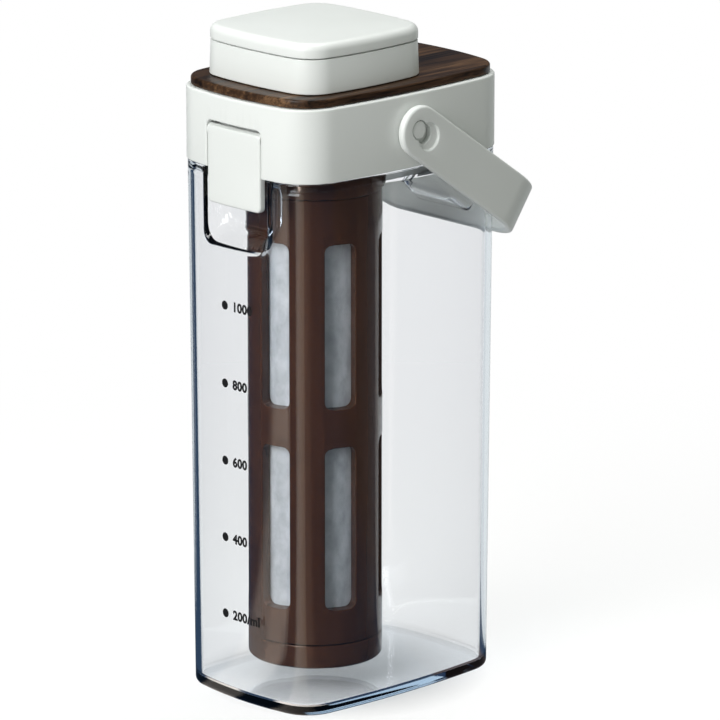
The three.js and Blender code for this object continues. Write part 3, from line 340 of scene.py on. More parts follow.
class Bench:
    """The modelling bench: primitives shaped in edit mode and finished with applied modifiers."""

    @staticmethod
    def pick(piece: Optional[Piece] = None) -> None:
        """Selects one piece alone, or nothing.

        Args:
            piece: The piece, if there is one.
        """
        bpy.ops.object.select_all(action="DESELECT")
        bpy.context.view_layer.objects.active = piece
        if piece is not None:
            piece.select_set(True)

    @staticmethod
    def loop(name: str, points: Sequence[Vector]) -> Piece:
        """A circle primitive whose points are set along a closed line.

        Args:
            name: The new piece's name.
            points: The line's points.

        Returns:
            The wire loop.
        """
        Bench.pick()
        bpy.ops.mesh.primitive_circle_add(vertices=len(points), radius=1.0, fill_type="NOTHING")
        piece = bpy.context.object
        piece.name = name
        piece.data.name = name
        for vertex, point in zip(piece.data.vertices, points):
            vertex.co = point
        return piece

    @staticmethod
    def tidy() -> None:
        """Welds doubled points of the piece in edit mode and turns its faces outwards."""
        bpy.ops.mesh.select_all(action="SELECT")
        bpy.ops.mesh.remove_doubles(threshold=WELD)
        bpy.ops.mesh.select_all(action="SELECT")
        bpy.ops.mesh.dissolve_degenerate(threshold=WELD)
        bpy.ops.mesh.select_all(action="SELECT")
        bpy.ops.mesh.normals_make_consistent(inside=False)

    @staticmethod
    def skin(
        name: str, rings: Sequence[Ring], start: End = End.FLAT, finish: End = End.FLAT
    ) -> Piece:
        """Extrudes a ring through a row of matching rings.

        Args:
            name: The new piece's name.
            rings: Rings with the same number of points, in order.
            start: How the first ring is closed.
            finish: How the last ring is closed.

        Returns:
            The skinned piece.
        """
        piece = Bench.loop(name, rings[0])
        bpy.ops.object.mode_set(mode="EDIT")
        mesh = bmesh.from_edit_mesh(piece.data)
        mesh.verts.layers.int.new("place")
        mesh.verts.layers.int.new("row")
        for index, vertex in enumerate(mesh.verts):
            vertex[mesh.verts.layers.int["place"]] = index
        bmesh.update_edit_mesh(piece.data)
        bpy.ops.mesh.select_all(action="SELECT")
        for row, ring in enumerate(rings[1:], 1):
            bpy.ops.mesh.extrude_region_move()
            mesh = bmesh.from_edit_mesh(piece.data)
            place_layer = mesh.verts.layers.int["place"]
            row_layer = mesh.verts.layers.int["row"]
            for vertex in mesh.verts:
                if vertex.select:
                    vertex.co = ring[vertex[place_layer]]
                    vertex[row_layer] = row
            bmesh.update_edit_mesh(piece.data)
        for row, end in ((0, start), (len(rings) - 1, finish)):
            Bench.select_row(piece, row)
            if end is End.FLAT:
                bpy.ops.mesh.edge_face_add()
            elif end is End.POLE:
                bpy.ops.mesh.merge(type="CENTER")
        Bench.tidy()
        bpy.ops.object.mode_set(mode="OBJECT")
        for layer in ("place", "row"):
            piece.data.attributes.remove(piece.data.attributes[layer])
        return piece

    @staticmethod
    def moulding(name: str, plan: BulgedPlan, profile: Sequence[Point]) -> Piece:
        """Skins a plan along a profile of insets and heights."""
        return Bench.skin(name, [plan.ring(inset, z) for inset, z in profile])

    @staticmethod
    def select_row(piece: Piece, row: int) -> None:
        """Selects one row of a skin being made.

        Args:
            piece: The skin, in edit mode.
            row: The row's number, counted from the first ring.
        """
        bpy.ops.mesh.select_all(action="DESELECT")
        mesh = bmesh.from_edit_mesh(piece.data)
        row_layer = mesh.verts.layers.int["row"]
        for vertex in mesh.verts:
            vertex.select_set(vertex[row_layer] == row)
        mesh.select_flush_mode()
        bmesh.update_edit_mesh(piece.data)

    @staticmethod
    def turn(
        name: str, profile: Sequence[Point], steps: int, centre: Vector, axis: Vector, closed: bool = True
    ) -> Piece:
        """Spins a profile into a turned piece.

        Args:
            name: The new piece's name.
            profile: Points as (radius, place along the axis).
            steps: Stretches round the axis.
            centre: A point on the axis.
            axis: The axis, +Z or +X.
            closed: Whether the profile is a loop, and not a line between two points on the axis.

        Returns:
            The turned piece.
        """
        outwards = X_AXIS if axis.z else Vector((0, 1, 0))
        points = [centre + outwards * radius + axis * along for radius, along in profile]
        piece = Bench.loop(name, points)
        bpy.ops.object.mode_set(mode="EDIT")
        if not closed:
            bpy.ops.mesh.select_all(action="DESELECT")
            mesh = bmesh.from_edit_mesh(piece.data)
            mesh.verts.ensure_lookup_table()
            ends = {mesh.verts[0], mesh.verts[len(points) - 1]}
            for edge in mesh.edges:
                if set(edge.verts) == ends:
                    edge.select_set(True)
            bpy.ops.mesh.select_mode(type="EDGE")
            bpy.ops.mesh.delete(type="EDGE")
            bpy.ops.mesh.select_mode(type="VERT")
        bpy.ops.mesh.select_all(action="SELECT")
        bpy.ops.mesh.spin(steps=steps, angle=math.tau, center=centre, axis=axis)
        Bench.tidy()
        bpy.ops.object.mode_set(mode="OBJECT")
        return piece

    @staticmethod
    def shape(piece: Piece, tool: Piece, operation: Operation) -> None:
        """Shapes a piece with a tool by an applied Boolean, and clears the tool away.

        Args:
            piece: The piece that is changed.
            tool: The solid it is cut by or united with.
            operation: Which of the two is done.
        """
        modifier = piece.modifiers.new("shape", "BOOLEAN")
        modifier.operation = operation.value
        modifier.solver = "MANIFOLD"
        modifier.object = tool
        Bench.pick(piece)
        bpy.ops.object.modifier_apply(modifier=modifier.name)
        bpy.data.objects.remove(tool)

    @staticmethod
    def cut(piece: Piece, *tools: Piece) -> None:
        """Cuts a piece by each tool in turn."""
        for tool in tools:
            Bench.shape(piece, tool, Operation.CUT)

    @staticmethod
    def unite(piece: Piece, *tools: Piece) -> None:
        """Unites a piece with each tool in turn."""
        for tool in tools:
            Bench.shape(piece, tool, Operation.UNITE)

    @staticmethod
    def copy(piece: Piece, name: str, move: Matrix) -> Piece:
        """Copies a piece with its own mesh.

        Args:
            piece: The piece to copy.
            name: The copy's name.
            move: How the copy's mesh is moved.

        Returns:
            The copy.
        """
        Bench.pick(piece)
        bpy.ops.object.duplicate()
        twin = bpy.context.object
        twin.name = name
        twin.data.name = name
        twin.data.transform(move)
        if move.determinant() < 0:
            twin.data.flip_normals()
        twin.data.update()
        return twin

    @staticmethod
    def bar(name: str, radius: float, ends: tuple[Vector, Vector], steps: int = 48) -> Piece:
        """A round bar between two points on one axis, used as a cutter or joined to a larger piece.

        Args:
            name: The new piece's name.
            radius: The bar's radius.
            ends: The middle of each end.
            steps: Stretches round it.

        Returns:
            The bar.
        """
        run = ends[1] - ends[0]
        axis = run.normalized()
        profile = [(0.0, 0.0), (radius, 0.0), (radius, run.length), (0.0, run.length)]
        return Bench.turn(name, profile, steps, ends[0], axis, closed=False)

    @staticmethod
    def block(name: str, low: Vector, high: Vector) -> Piece:
        """A box, joined to a larger piece.

        Args:
            name: The new piece's name.
            low: Its corner with the lowest coordinates.
            high: Its corner with the highest.

        Returns:
            The box.
        """
        Bench.pick()
        bpy.ops.mesh.primitive_cube_add(size=1.0)
        piece = bpy.context.object
        piece.name = name
        for vertex in piece.data.vertices:
            vertex.co = [b if place > 0 else a for a, b, place in zip(low, high, vertex.co)]
        return piece


def finish_piece(
    piece: Piece, material: Material, body: Body, slot: Optional[str], *nodes: str
) -> None:
    """Shades, dresses and places a finished piece on its body.

    Args:
        piece: The piece.
        material: Its finish.
        body: The body it rides on.
        slot: The record's material slot that matches its finish, if it has one; not used.
        nodes: The solids of the frame that it stands for.
    """
    Bench.pick(piece)
    bpy.ops.object.shade_smooth_by_angle(angle=CREASE)
    piece.data.materials.clear()
    piece.data.materials.append(material)
    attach(piece, body.value)
    if nodes:
        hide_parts(*nodes)
    log.info("%s: %d faces, rides on %s", piece.name, len(piece.data.polygons), body.value)


def dress_node(node: str, material: Material) -> None:
    """Gives a solid of the frame its finish.

    Args:
        node: The solid's name.
        material: Its finish.
    """
    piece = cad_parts[node]
    piece.data.materials.clear()
    piece.data.materials.append(material)
    log.info("%s: kept as packed, %d faces", node, len(piece.data.polygons))


@dataclass(frozen=True)
class Pattern:
    """A noise pattern: how fine it is, how many layers it has and how rough they are."""

    scale: float
    detail: float = 3.0
    rough: float = 0.5


@dataclass(frozen=True)
class Relief:
    """How strongly a pattern stands out of a surface, and how high."""

    strength: float
    height: float


class Nodes:
    """A small builder for a material's node tree."""

    def __init__(self, name: str) -> None:
        """Starts the tree of a new material.

        Args:
            name: The material's name.
        """
        self.material = bpy.data.materials.new(name)
        self.material.use_nodes = True
        self.start(self.material.node_tree, "ShaderNodeOutputMaterial")

    def start(self, tree: bpy.types.NodeTree, output: str) -> None:
        """Empties a tree and gives it an output.

        Args:
            tree: The tree.
            output: The output's type.
        """
        self.tree = tree
        self.tree.nodes.clear()
        self.output = self.tree.nodes.new(output)

    def add(
        self, kind: str, links: Optional[dict[str, Socket]] = None, **values: object
    ) -> bpy.types.Node:
        """Adds a node.

        Args:
            kind: The node's type.
            links: Sockets that feed its inputs, by the input's name.
            values: Values of its inputs or properties, by name with spaces as underscores.

        Returns:
            The node.
        """
        node = self.tree.nodes.new(kind)
        for key, value in values.items():
            socket = node.inputs.get(key.replace("_", " "))
            if socket is not None:
                socket.default_value = value
            else:
                setattr(node, key, value)
        for key, source in (links or {}).items():
            self.link(source, node.inputs[key])
        return node

    def link(self, source: Socket, target: Socket) -> None:
        """Joins two sockets."""
        self.tree.links.new(source, target)

    def feed(self, source: Feed, target: Socket) -> None:
        """Feeds an input.

        Args:
            source: A socket, a number or a colour.
            target: The input.
        """
        if isinstance(source, Socket):
            self.link(source, target)
        elif isinstance(source, tuple):
            target.default_value = (*source, 1.0)
        else:
            target.default_value = source

    def math(self, operation: str, first: Feed, second: Feed) -> Socket:
        """One sum on two values.

        Args:
            operation: Blender's name for it.
            first: The first value.
            second: The second value.

        Returns:
            The result.
        """
        node = self.add("ShaderNodeMath", operation=operation)
        self.feed(first, node.inputs[0])
        self.feed(second, node.inputs[1])
        return node.outputs[0]

    def blend(self, share: Feed, first: Feed, second: Feed, kind: str = "MIX") -> Socket:
        """Mixes two colours.

        Args:
            share: The second colour's share.
            first: The first colour.
            second: The second colour.
            kind: Blender's name for the way of mixing.

        Returns:
            The mixed colour.
        """
        node = self.add("ShaderNodeMix", data_type="RGBA", blend_type=kind)
        self.feed(share, node.inputs[MIX_SHARE])
        self.feed(first, node.inputs[MIX_FIRST])
        self.feed(second, node.inputs[MIX_SECOND])
        return node.outputs[MIX_RESULT]

    def coordinates(self, scale: Triple = (1, 1, 1)) -> Socket:
        """The piece's own coordinates.

        Args:
            scale: How they are stretched.

        Returns:
            The coordinates.
        """
        place = self.add("ShaderNodeTexCoord")
        mapping = self.add("ShaderNodeMapping", {"Vector": place.outputs["Object"]}, Scale=scale)
        return mapping.outputs["Vector"]

    def noise(self, vector: Socket, pattern: Pattern) -> Socket:
        """A noise pattern's value on a coordinate.

        Args:
            vector: The coordinate.
            pattern: The pattern.

        Returns:
            The value, from 0 to 1.
        """
        node = self.add(
            "ShaderNodeTexNoise", {"Vector": vector}, Scale=pattern.scale, Detail=pattern.detail,
            Roughness=pattern.rough,
        )
        return node.outputs["Fac"]

    def ramp(self, value: Socket, stops: Sequence[tuple[float, Colour]]) -> Socket:
        """A colour ramp over a value.

        Args:
            value: The value that is ramped.
            stops: Places from 0 to 1 and their colours.

        Returns:
            The ramp's colour.
        """
        node = self.add("ShaderNodeValToRGB", {"Fac": value})
        elements = node.color_ramp.elements
        while len(elements) < len(stops):
            elements.new(0.5)
        for element, (place, colour) in zip(elements, stops):
            element.position = place
            element.color = (*colour, 1.0)
        return node.outputs["Color"]

    def span(self, value: Socket, to: tuple[float, float], start: tuple[float, float] = (0, 1)) -> Socket:
        """Spreads a value between two others.

        Args:
            value: The value.
            to: What it becomes at its two ends.
            start: Where its two ends are.

        Returns:
            The spread value.
        """
        node = self.add(
            "ShaderNodeMapRange", {"Value": value}, From_Min=start[0], From_Max=start[1],
            To_Min=to[0], To_Max=to[1],
        )
        return node.outputs["Result"]

    def bump(self, height: Socket, relief: Relief, below: Optional[Socket] = None) -> Socket:
        """A relief's normal.

        Args:
            height: The value that stands for the height.
            relief: How strong and high it is.
            below: The normal of a relief that lies under it.

        Returns:
            The normal.
        """
        links = {"Height": height}
        if below is not None:
            links["Normal"] = below
        node = self.add("ShaderNodeBump", links, Strength=relief.strength, Distance=relief.height)
        return node.outputs["Normal"]

    def mix(self, share: Socket, first: bpy.types.Node, second: bpy.types.Node) -> bpy.types.Node:
        """Mixes two shaders.

        Args:
            share: The second shader's share.
            first: The first shader.
            second: The second shader.

        Returns:
            The mixed shader.
        """
        node = self.add("ShaderNodeMixShader", {"Fac": share})
        self.link(first.outputs[0], node.inputs[1])
        self.link(second.outputs[0], node.inputs[2])
        return node

    def show(self, shader: bpy.types.Node) -> None:
        """Joins a shader to the output."""
        self.link(shader.outputs[0], self.output.inputs["Surface"])

    def finish(self, links: dict[str, Socket], **values: object) -> Material:
        """Ends a material's tree with the usual shader.

        Args:
            links: Sockets that feed the shader's inputs, by the input's name.
            values: Values of its inputs, by name with spaces as underscores.

        Returns:
            The finished material.
        """
        self.show(self.add("ShaderNodeBsdfPrincipled", links, **values))
        return self.material


class WorldNodes(Nodes):
    """A small builder for the surroundings' node tree."""

    def __init__(self, name: str) -> None:
        """Makes the scene's world and starts its tree.

        Args:
            name: The world's name.
        """
        world = bpy.data.worlds.new(name)
        bpy.context.scene.world = world
        world.use_nodes = True
        self.start(world.node_tree, "ShaderNodeOutputWorld")


@dataclass(frozen=True)
class ClearPlastic:
    """Thick, polished, clear plastic with a faint cool tint where light runs far through it."""

    ior: float = 1.5
    depth_tint: Colour = (0.50, 0.72, 0.92)
    depth_density: float = 16.0
    lamp_tint: Colour = (0.94, 0.95, 0.955)

    def material(self) -> Material:
        """Builds the finish, which lets lamps through to what stands behind it.

        Returns:
            The material.
        """
        nodes = Nodes("clear_plastic")
        polished = nodes.add(
            "ShaderNodeBsdfPrincipled", Base_Color=(*WHITE, 1), Roughness=0.0, IOR=self.ior,
            Transmission_Weight=1.0,
        )
        clear = nodes.add("ShaderNodeBsdfTransparent", Color=(*self.lamp_tint, 1))
        path = nodes.add("ShaderNodeLightPath")
        nodes.show(nodes.mix(path.outputs["Is Shadow Ray"], polished, clear))
        depth = nodes.add(
            "ShaderNodeVolumeAbsorption", Color=(*self.depth_tint, 1), Density=self.depth_density,
        )
        nodes.link(depth.outputs[0], nodes.output.inputs["Volume"])
        return nodes.material


@dataclass(frozen=True)
class MouldedPlastic:
    """Opaque moulded plastic with a fine surface grain and slight unevenness in its gloss."""

    name: str
    colour: Colour
    shade: Colour
    roughness: tuple[float, float] = (0.36, 0.46)
    ior: float = 1.5
    specular: float = 0.5
    specular_tint: Colour = WHITE
    cloud: Pattern = Pattern(26.0, 2.0)
    cloud_stops: tuple[float, float] = (0.3, 0.7)
    gloss: Pattern = Pattern(130.0, 4.0)
    grain: Pattern = Pattern(2600.0, 2.0)
    grain_relief: Relief = Relief(0.04, 0.00005)

    def material(self) -> Material:
        """Builds the finish.

        Returns:
            The material.
        """
        nodes = Nodes(self.name)
        place = nodes.coordinates()
        stops = zip(self.cloud_stops, (self.shade, self.colour))
        return nodes.finish(
            {
                "Base Color": nodes.ramp(nodes.noise(place, self.cloud), tuple(stops)),
                "Roughness": nodes.span(nodes.noise(place, self.gloss), self.roughness),
                "Normal": nodes.bump(nodes.noise(place, self.grain), self.grain_relief),
            },
            IOR=self.ior, Specular_IOR_Level=self.specular, Specular_Tint=(*self.specular_tint, 1),
        )


@dataclass(frozen=True)
class Walnut:
    """Dark stained wood with its grain along the lid, fine pores and a satin finish."""

    dark: Colour = (0.010, 0.0046, 0.0022)
    middle: Colour = (0.062, 0.030, 0.0135)
    pale: Colour = (0.26, 0.142, 0.068)
    stops: tuple[float, float, float] = (0.38, 0.5, 0.68)
    fibre_stretch: Triple = (1.0, 0.04, 1.0)
    fibre: Pattern = Pattern(420.0, 6.0, 0.62)
    fibre_relief: Relief = Relief(0.2, 0.0001)
    band: Pattern = Pattern(70.0)
    band_share: float = 0.45
    pore_stretch: Triple = (1.0, 0.03, 1.0)
    pore: Pattern = Pattern(1900.0, 2.0, 0.4)
    pore_colour: Colour = (0.35, 0.35, 0.35)
    pore_stops: tuple[float, float] = (0.36, 0.46)
    pore_relief: Relief = Relief(0.25, 0.00006)
    roughness: tuple[float, float] = (0.3, 0.48)
    ior: float = 1.5
    specular: float = 0.25

    def material(self) -> Material:
        """Builds the finish.

        Returns:
            The material.
        """
        nodes = Nodes("walnut")
        along = nodes.coordinates(self.fibre_stretch)
        fibre = nodes.noise(along, self.fibre)
        band = nodes.noise(along, self.band)
        figure = nodes.add("ShaderNodeMix", {"A": fibre, "B": band}, Factor=self.band_share)
        stops = zip(self.stops, (self.dark, self.middle, self.pale))
        wood = nodes.ramp(figure.outputs[0], tuple(stops))
        pore = nodes.noise(nodes.coordinates(self.pore_stretch), self.pore)
        pores = nodes.ramp(pore, tuple(zip(self.pore_stops, (self.pore_colour, WHITE))))
        return nodes.finish(
            {
                "Base Color": nodes.blend(1.0, wood, pores, "MULTIPLY"),
                "Roughness": nodes.span(fibre, self.roughness),
                "Normal": nodes.bump(pores, self.pore_relief, nodes.bump(fibre, self.fibre_relief)),
            },
            IOR=self.ior, Specular_IOR_Level=self.specular,
        )


@dataclass(frozen=True)
class FilterCloth:
    """Fine pale filter mesh with an uneven, slightly frosted look."""

    pale: Colour = (0.48, 0.505, 0.535)
    shade: Colour = (0.33, 0.35, 0.375)
    stops: tuple[float, float] = (0.34, 0.62)
    cloud_stretch: Triple = (1.0, 1.0, 0.55)
    cloud: Pattern = Pattern(210.0, 5.0, 0.62)
    thread: float = 0.00022
    slant_waviness: float = 0.4
    row_waviness: float = 0.3
    weave_relief: Relief = Relief(0.35, 0.00008)
    roughness: float = 0.72
    ior: float = 1.45
    specular: float = 0.2
    sheen: float = 0.1
    frosting: float = 0.7
    light_reach: Triple = (0.003, 0.003, 0.003)

    def threads(self, nodes: Nodes, place: Socket, direction: str, waviness: float) -> Socket:
        """One set of threads.

        Args:
            nodes: The builder of the tree.
            place: The coordinate on which they run.
            direction: Blender's name for their direction.
            waviness: How uneven they are.

        Returns:
            The threads' height, from 0 to 1.
        """
        wave = nodes.add(
            "ShaderNodeTexWave", {"Vector": place}, wave_type="BANDS", bands_direction=direction,
            Scale=1 / (self.thread * math.tau), Distortion=waviness,
        )
        return wave.outputs["Fac"]

    def material(self) -> Material:
        """Builds the finish.

        Returns:
            The material.
        """
        nodes = Nodes("filter_mesh")
        place = nodes.coordinates()
        cloud = nodes.noise(nodes.coordinates(self.cloud_stretch), self.cloud)
        slant = self.threads(nodes, place, "DIAGONAL", self.slant_waviness)
        rows = self.threads(nodes, place, "Z", self.row_waviness)
        return nodes.finish(
            {
                "Base Color": nodes.ramp(cloud, tuple(zip(self.stops, (self.shade, self.pale)))),
                "Normal": nodes.bump(nodes.math("MULTIPLY", slant, rows), self.weave_relief),
            },
            Roughness=self.roughness, IOR=self.ior, Sheen_Weight=self.sheen,
            Specular_IOR_Level=self.specular, Subsurface_Weight=self.frosting,
            Subsurface_Radius=self.light_reach,
        )


@dataclass(frozen=True)
class Silicone:
    """Matte, milky sealing rubber."""

    colour: Colour = (0.74, 0.74, 0.71)
    shade: Colour = (0.66, 0.66, 0.63)
    cloud: Pattern = Pattern(90.0)
    cloud_stops: tuple[float, float] = (0.3, 0.7)
    grain: Pattern = Pattern(3200.0)
    grain_relief: Relief = Relief(0.1, 0.00005)
    roughness: float = 0.62
    ior: float = 1.42
    milkiness: float = 0.15
    light_reach: Triple = (0.002, 0.002, 0.0018)

    def material(self) -> Material:
        """Builds the finish.

        Returns:
            The material.
        """
        nodes = Nodes("silicone")
        place = nodes.coordinates()
        stops = zip(self.cloud_stops, (self.shade, self.colour))
        return nodes.finish(
            {
                "Base Color": nodes.ramp(nodes.noise(place, self.cloud), tuple(stops)),
                "Normal": nodes.bump(nodes.noise(place, self.grain), self.grain_relief),
            },
            Roughness=self.roughness, IOR=self.ior, Subsurface_Weight=self.milkiness,
            Subsurface_Radius=self.light_reach,
        )


@dataclass(frozen=True)
class Steel:
    """Drawn steel wire, faintly brushed along its length."""

    colour: Colour = (0.60, 0.60, 0.61)
    brush_stretch: Triple = (0.05, 1.0, 1.0)
    brush: Pattern = Pattern(4200.0)
    brush_relief: Relief = Relief(0.1, 0.00003)
    roughness: tuple[float, float] = (0.22, 0.4)

    def material(self) -> Material:
        """Builds the finish.

        Returns:
            The material.
        """
        nodes = Nodes("steel")
        brush = nodes.noise(nodes.coordinates(self.brush_stretch), self.brush)
        return nodes.finish(
            {
                "Roughness": nodes.span(brush, self.roughness),
                "Normal": nodes.bump(brush, self.brush_relief),
            },
            Base_Color=(*self.colour, 1), Metallic=1.0,
        )


@dataclass(frozen=True)
class Ink:
    """Printed scale ink, slightly uneven in its gloss."""

    colour: Colour = (0.012, 0.012, 0.013)
    patch: Pattern = Pattern(2600.0, 2.0)
    roughness: tuple[float, float] = (0.5, 0.7)
    ior: float = 1.5
    specular: float = 0.15

    def material(self) -> Material:
        """Builds the finish.

        Returns:
            The material.
        """
        nodes = Nodes("scale_ink")
        patch = nodes.noise(nodes.coordinates(), self.patch)
        return nodes.finish(
            {"Roughness": nodes.span(patch, self.roughness)},
            Base_Color=(*self.colour, 1), IOR=self.ior, Specular_IOR_Level=self.specular,
        )


WHITE_PLASTIC = MouldedPlastic("white_plastic", (0.81, 0.832, 0.815), (0.79, 0.812, 0.792))
BROWN_PLASTIC = MouldedPlastic(
    "brown_plastic", (0.047, 0.019, 0.0092), (0.040, 0.0152, 0.0068), roughness=(0.08, 0.12),
    specular=0.6, specular_tint=(1.0, 0.78, 0.66), grain_relief=Relief(0.02, 0.00005),
)


@dataclass
class Finishes:
    """One material of each finish, shared by the pieces."""

    clear: Material = field(default_factory=ClearPlastic().material)
    white: Material = field(default_factory=WHITE_PLASTIC.material)
    brown: Material = field(default_factory=BROWN_PLASTIC.material)
    walnut: Material = field(default_factory=Walnut().material)
    cloth: Material = field(default_factory=FilterCloth().material)
    silicone: Material = field(default_factory=Silicone().material)
    steel: Material = field(default_factory=Steel().material)
    ink: Material = field(default_factory=Ink().material)


@dataclass(frozen=True)
class LatchHinge:
    """The front latch's axis, and the radii of its bore and of the barrel round it."""

    y: float = -0.0514
    z: float = 0.2164
    bore: float = 0.0014
    barrel: float = 0.0023


@dataclass(frozen=True)
class BailPivot:
    """The height of the axis on which the bail swings, and the radius of its studs."""

    z: float = 0.2169
    stud: float = 0.0033


def lid_plan() -> BulgedPlan:
    """The plan that the lid and the jug share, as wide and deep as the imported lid."""
    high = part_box("lid_shell")[1]
    return BulgedPlan(high.x, high.y, long_bulge=0.004, narrow_bulge=0.0056, corner_radius=0.016)


@dataclass
class Jug:
    """The clear moulding with a finger pocket scooped into its front and back."""

    plan: BulgedPlan
    step_in: float = 0.00035
    draft: float = 0.0016
    wall: float = 0.0025
    floor: float = 0.0031
    foot_radius: float = 0.0022
    floor_fillet: float = 0.002
    shoulder_z: float = 0.2022
    shoulder_slope: float = 0.004
    shoulder_edge: float = 0.0006
    rim_outer_inset: float = 0.00305
    rim_wall: float = 0.0022
    rim_edge: float = 0.0006
    pocket_half_width: float = 0.017
    pocket_taper: float = 0.003
    pocket_depth: float = 0.0095
    pocket_drop: float = 0.0289
    pocket_ramp: float = 0.0072
    pocket_corner: float = 0.005
    pocket_mouth: float = 0.0007
    pocket_back_radius: float = 0.0018
    pocket_back_steps: int = 6
    roof: float = 0.0025
    rows: int = 24
    rows_low: float = 0.012
    rows_high: float = 0.19

    @cached_property
    def rim_top(self) -> float:
        """The top of the rim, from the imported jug."""
        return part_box("jug")[1].z

    def inset(self, z: float) -> float:
        """How far the outer wall stands in from the plan at a height."""
        return self.step_in + self.draft * (1 - z / self.shoulder_z)

    def row_heights(self) -> list[float]:
        """The heights of the wall's extra rows, which keep its gloss even round the pockets."""
        step = (self.rows_high - self.rows_low) / (self.rows - 1)
        return [self.rows_low + step * index for index in range(self.rows)]

    def outside(self) -> Piece:
        """Models the jug's outer form.

        Returns:
            The form as a solid, filled in up to the rim's top.
        """
        profile = rounded([
            (self.inset(0) + self.foot_radius * 2, 0, 0),
            (self.inset(0), 0, self.foot_radius),
            *((self.inset(z), z, 0) for z in self.row_heights()),
            (self.inset(self.shoulder_z), self.shoulder_z, self.shoulder_edge),
            (self.rim_outer_inset, self.shoulder_z, 0),
            (self.rim_outer_inset, self.rim_top, self.rim_edge),
            (self.rim_outer_inset + self.rim_wall / 2, self.rim_top, 0),
        ])
        return Bench.moulding("clear_jug", self.plan, profile)

    def inside(self) -> Piece:
        """Models the space inside the jug.

        Returns:
            The space as a solid, carried on above the rim.
        """
        wall = self.inset(0) + self.wall
        top_wall = self.step_in + self.wall
        rim = self.rim_outer_inset + self.rim_wall
        slope_z = self.shoulder_z - self.shoulder_slope
        lean = (top_wall - wall) / (slope_z - self.floor)
        profile = rounded([
            (wall + self.floor_fillet * 2, self.floor, 0),
            (wall, self.floor, self.floor_fillet),
            *((wall + lean * (z - self.floor), z, 0) for z in self.row_heights()),
            (top_wall, slope_z, self.shoulder_slope),
            (rim, self.shoulder_z, self.shoulder_edge),
            (rim, self.rim_top - self.rim_edge, 0),
            (rim - self.rim_edge, self.rim_top, 0),
            (rim - self.rim_edge, self.rim_top + OVERRUN, 0),
        ])
        return Bench.moulding("jug_inside", self.plan, profile)

    def pocket(self, wall: float, top: float) -> Piece:
        """The finger pocket at the front.

        Args:
            wall: How far the pocket is grown, to form the wall round it.
            top: Where it ends upwards.

        Returns:
            The pocket as a solid.
        """
        back_radius = self.pocket_back_radius + wall
        end = self.pocket_depth + wall
        mouth = [] if wall else eased_mouth(self.pocket_mouth)
        start = mouth[0][0] if mouth else 0.0
        layers = [(start, -OVERRUN), *mouth, *eased_foot(back_radius, end, self.pocket_back_steps)]
        face = self.plan.half_depth - self.step_in
        rings = []
        for growth, depth in layers:
            share = min(max(depth / self.pocket_depth, 0), 1)
            outline = Outline(
                self.pocket_half_width - self.pocket_taper * share + wall,
                self.shoulder_z - self.pocket_drop + self.pocket_ramp * share - wall,
                top, self.pocket_corner + wall, 0, fixed_top=True,
            )
            ring = []
            for x, z in outline.ring(growth):
                front = self.plan.front(x, self.inset(z))
                ring.append(Vector((x, front + depth - (face + front) * share, z)))
            rings.append(ring)
        return Bench.skin("pocket", rings)

    def both_ends(self, tool: Piece) -> list[Piece]:
        """A front tool and its copy at the back."""
        return [tool, Bench.copy(tool, tool.name + "_back", TO_BACK)]

    def build(self, finishes: Finishes) -> None:
        """Models the jug and dresses it.

        Args:
            finishes: The materials.
        """
        jug = self.outside()
        inside = self.inside()
        Bench.cut(inside, *self.both_ends(self.pocket(self.wall, self.shoulder_z)))
        Bench.cut(jug, inside)
        roof_z = self.shoulder_z - self.roof
        open_top = self.pocket(0.0, self.shoulder_z + OVERRUN)
        under_rim = [(self.rim_outer_inset, z) for z in (0.0, self.rim_top + OVERRUN)]
        Bench.cut(open_top, Bench.moulding("rim_block", self.plan, under_rim))
        Bench.cut(jug, *self.both_ends(self.pocket(0.0, roof_z)), *self.both_ends(open_top))
        finish_piece(jug, finishes.clear, Body.ROOT, "clear_plastic", "jug")


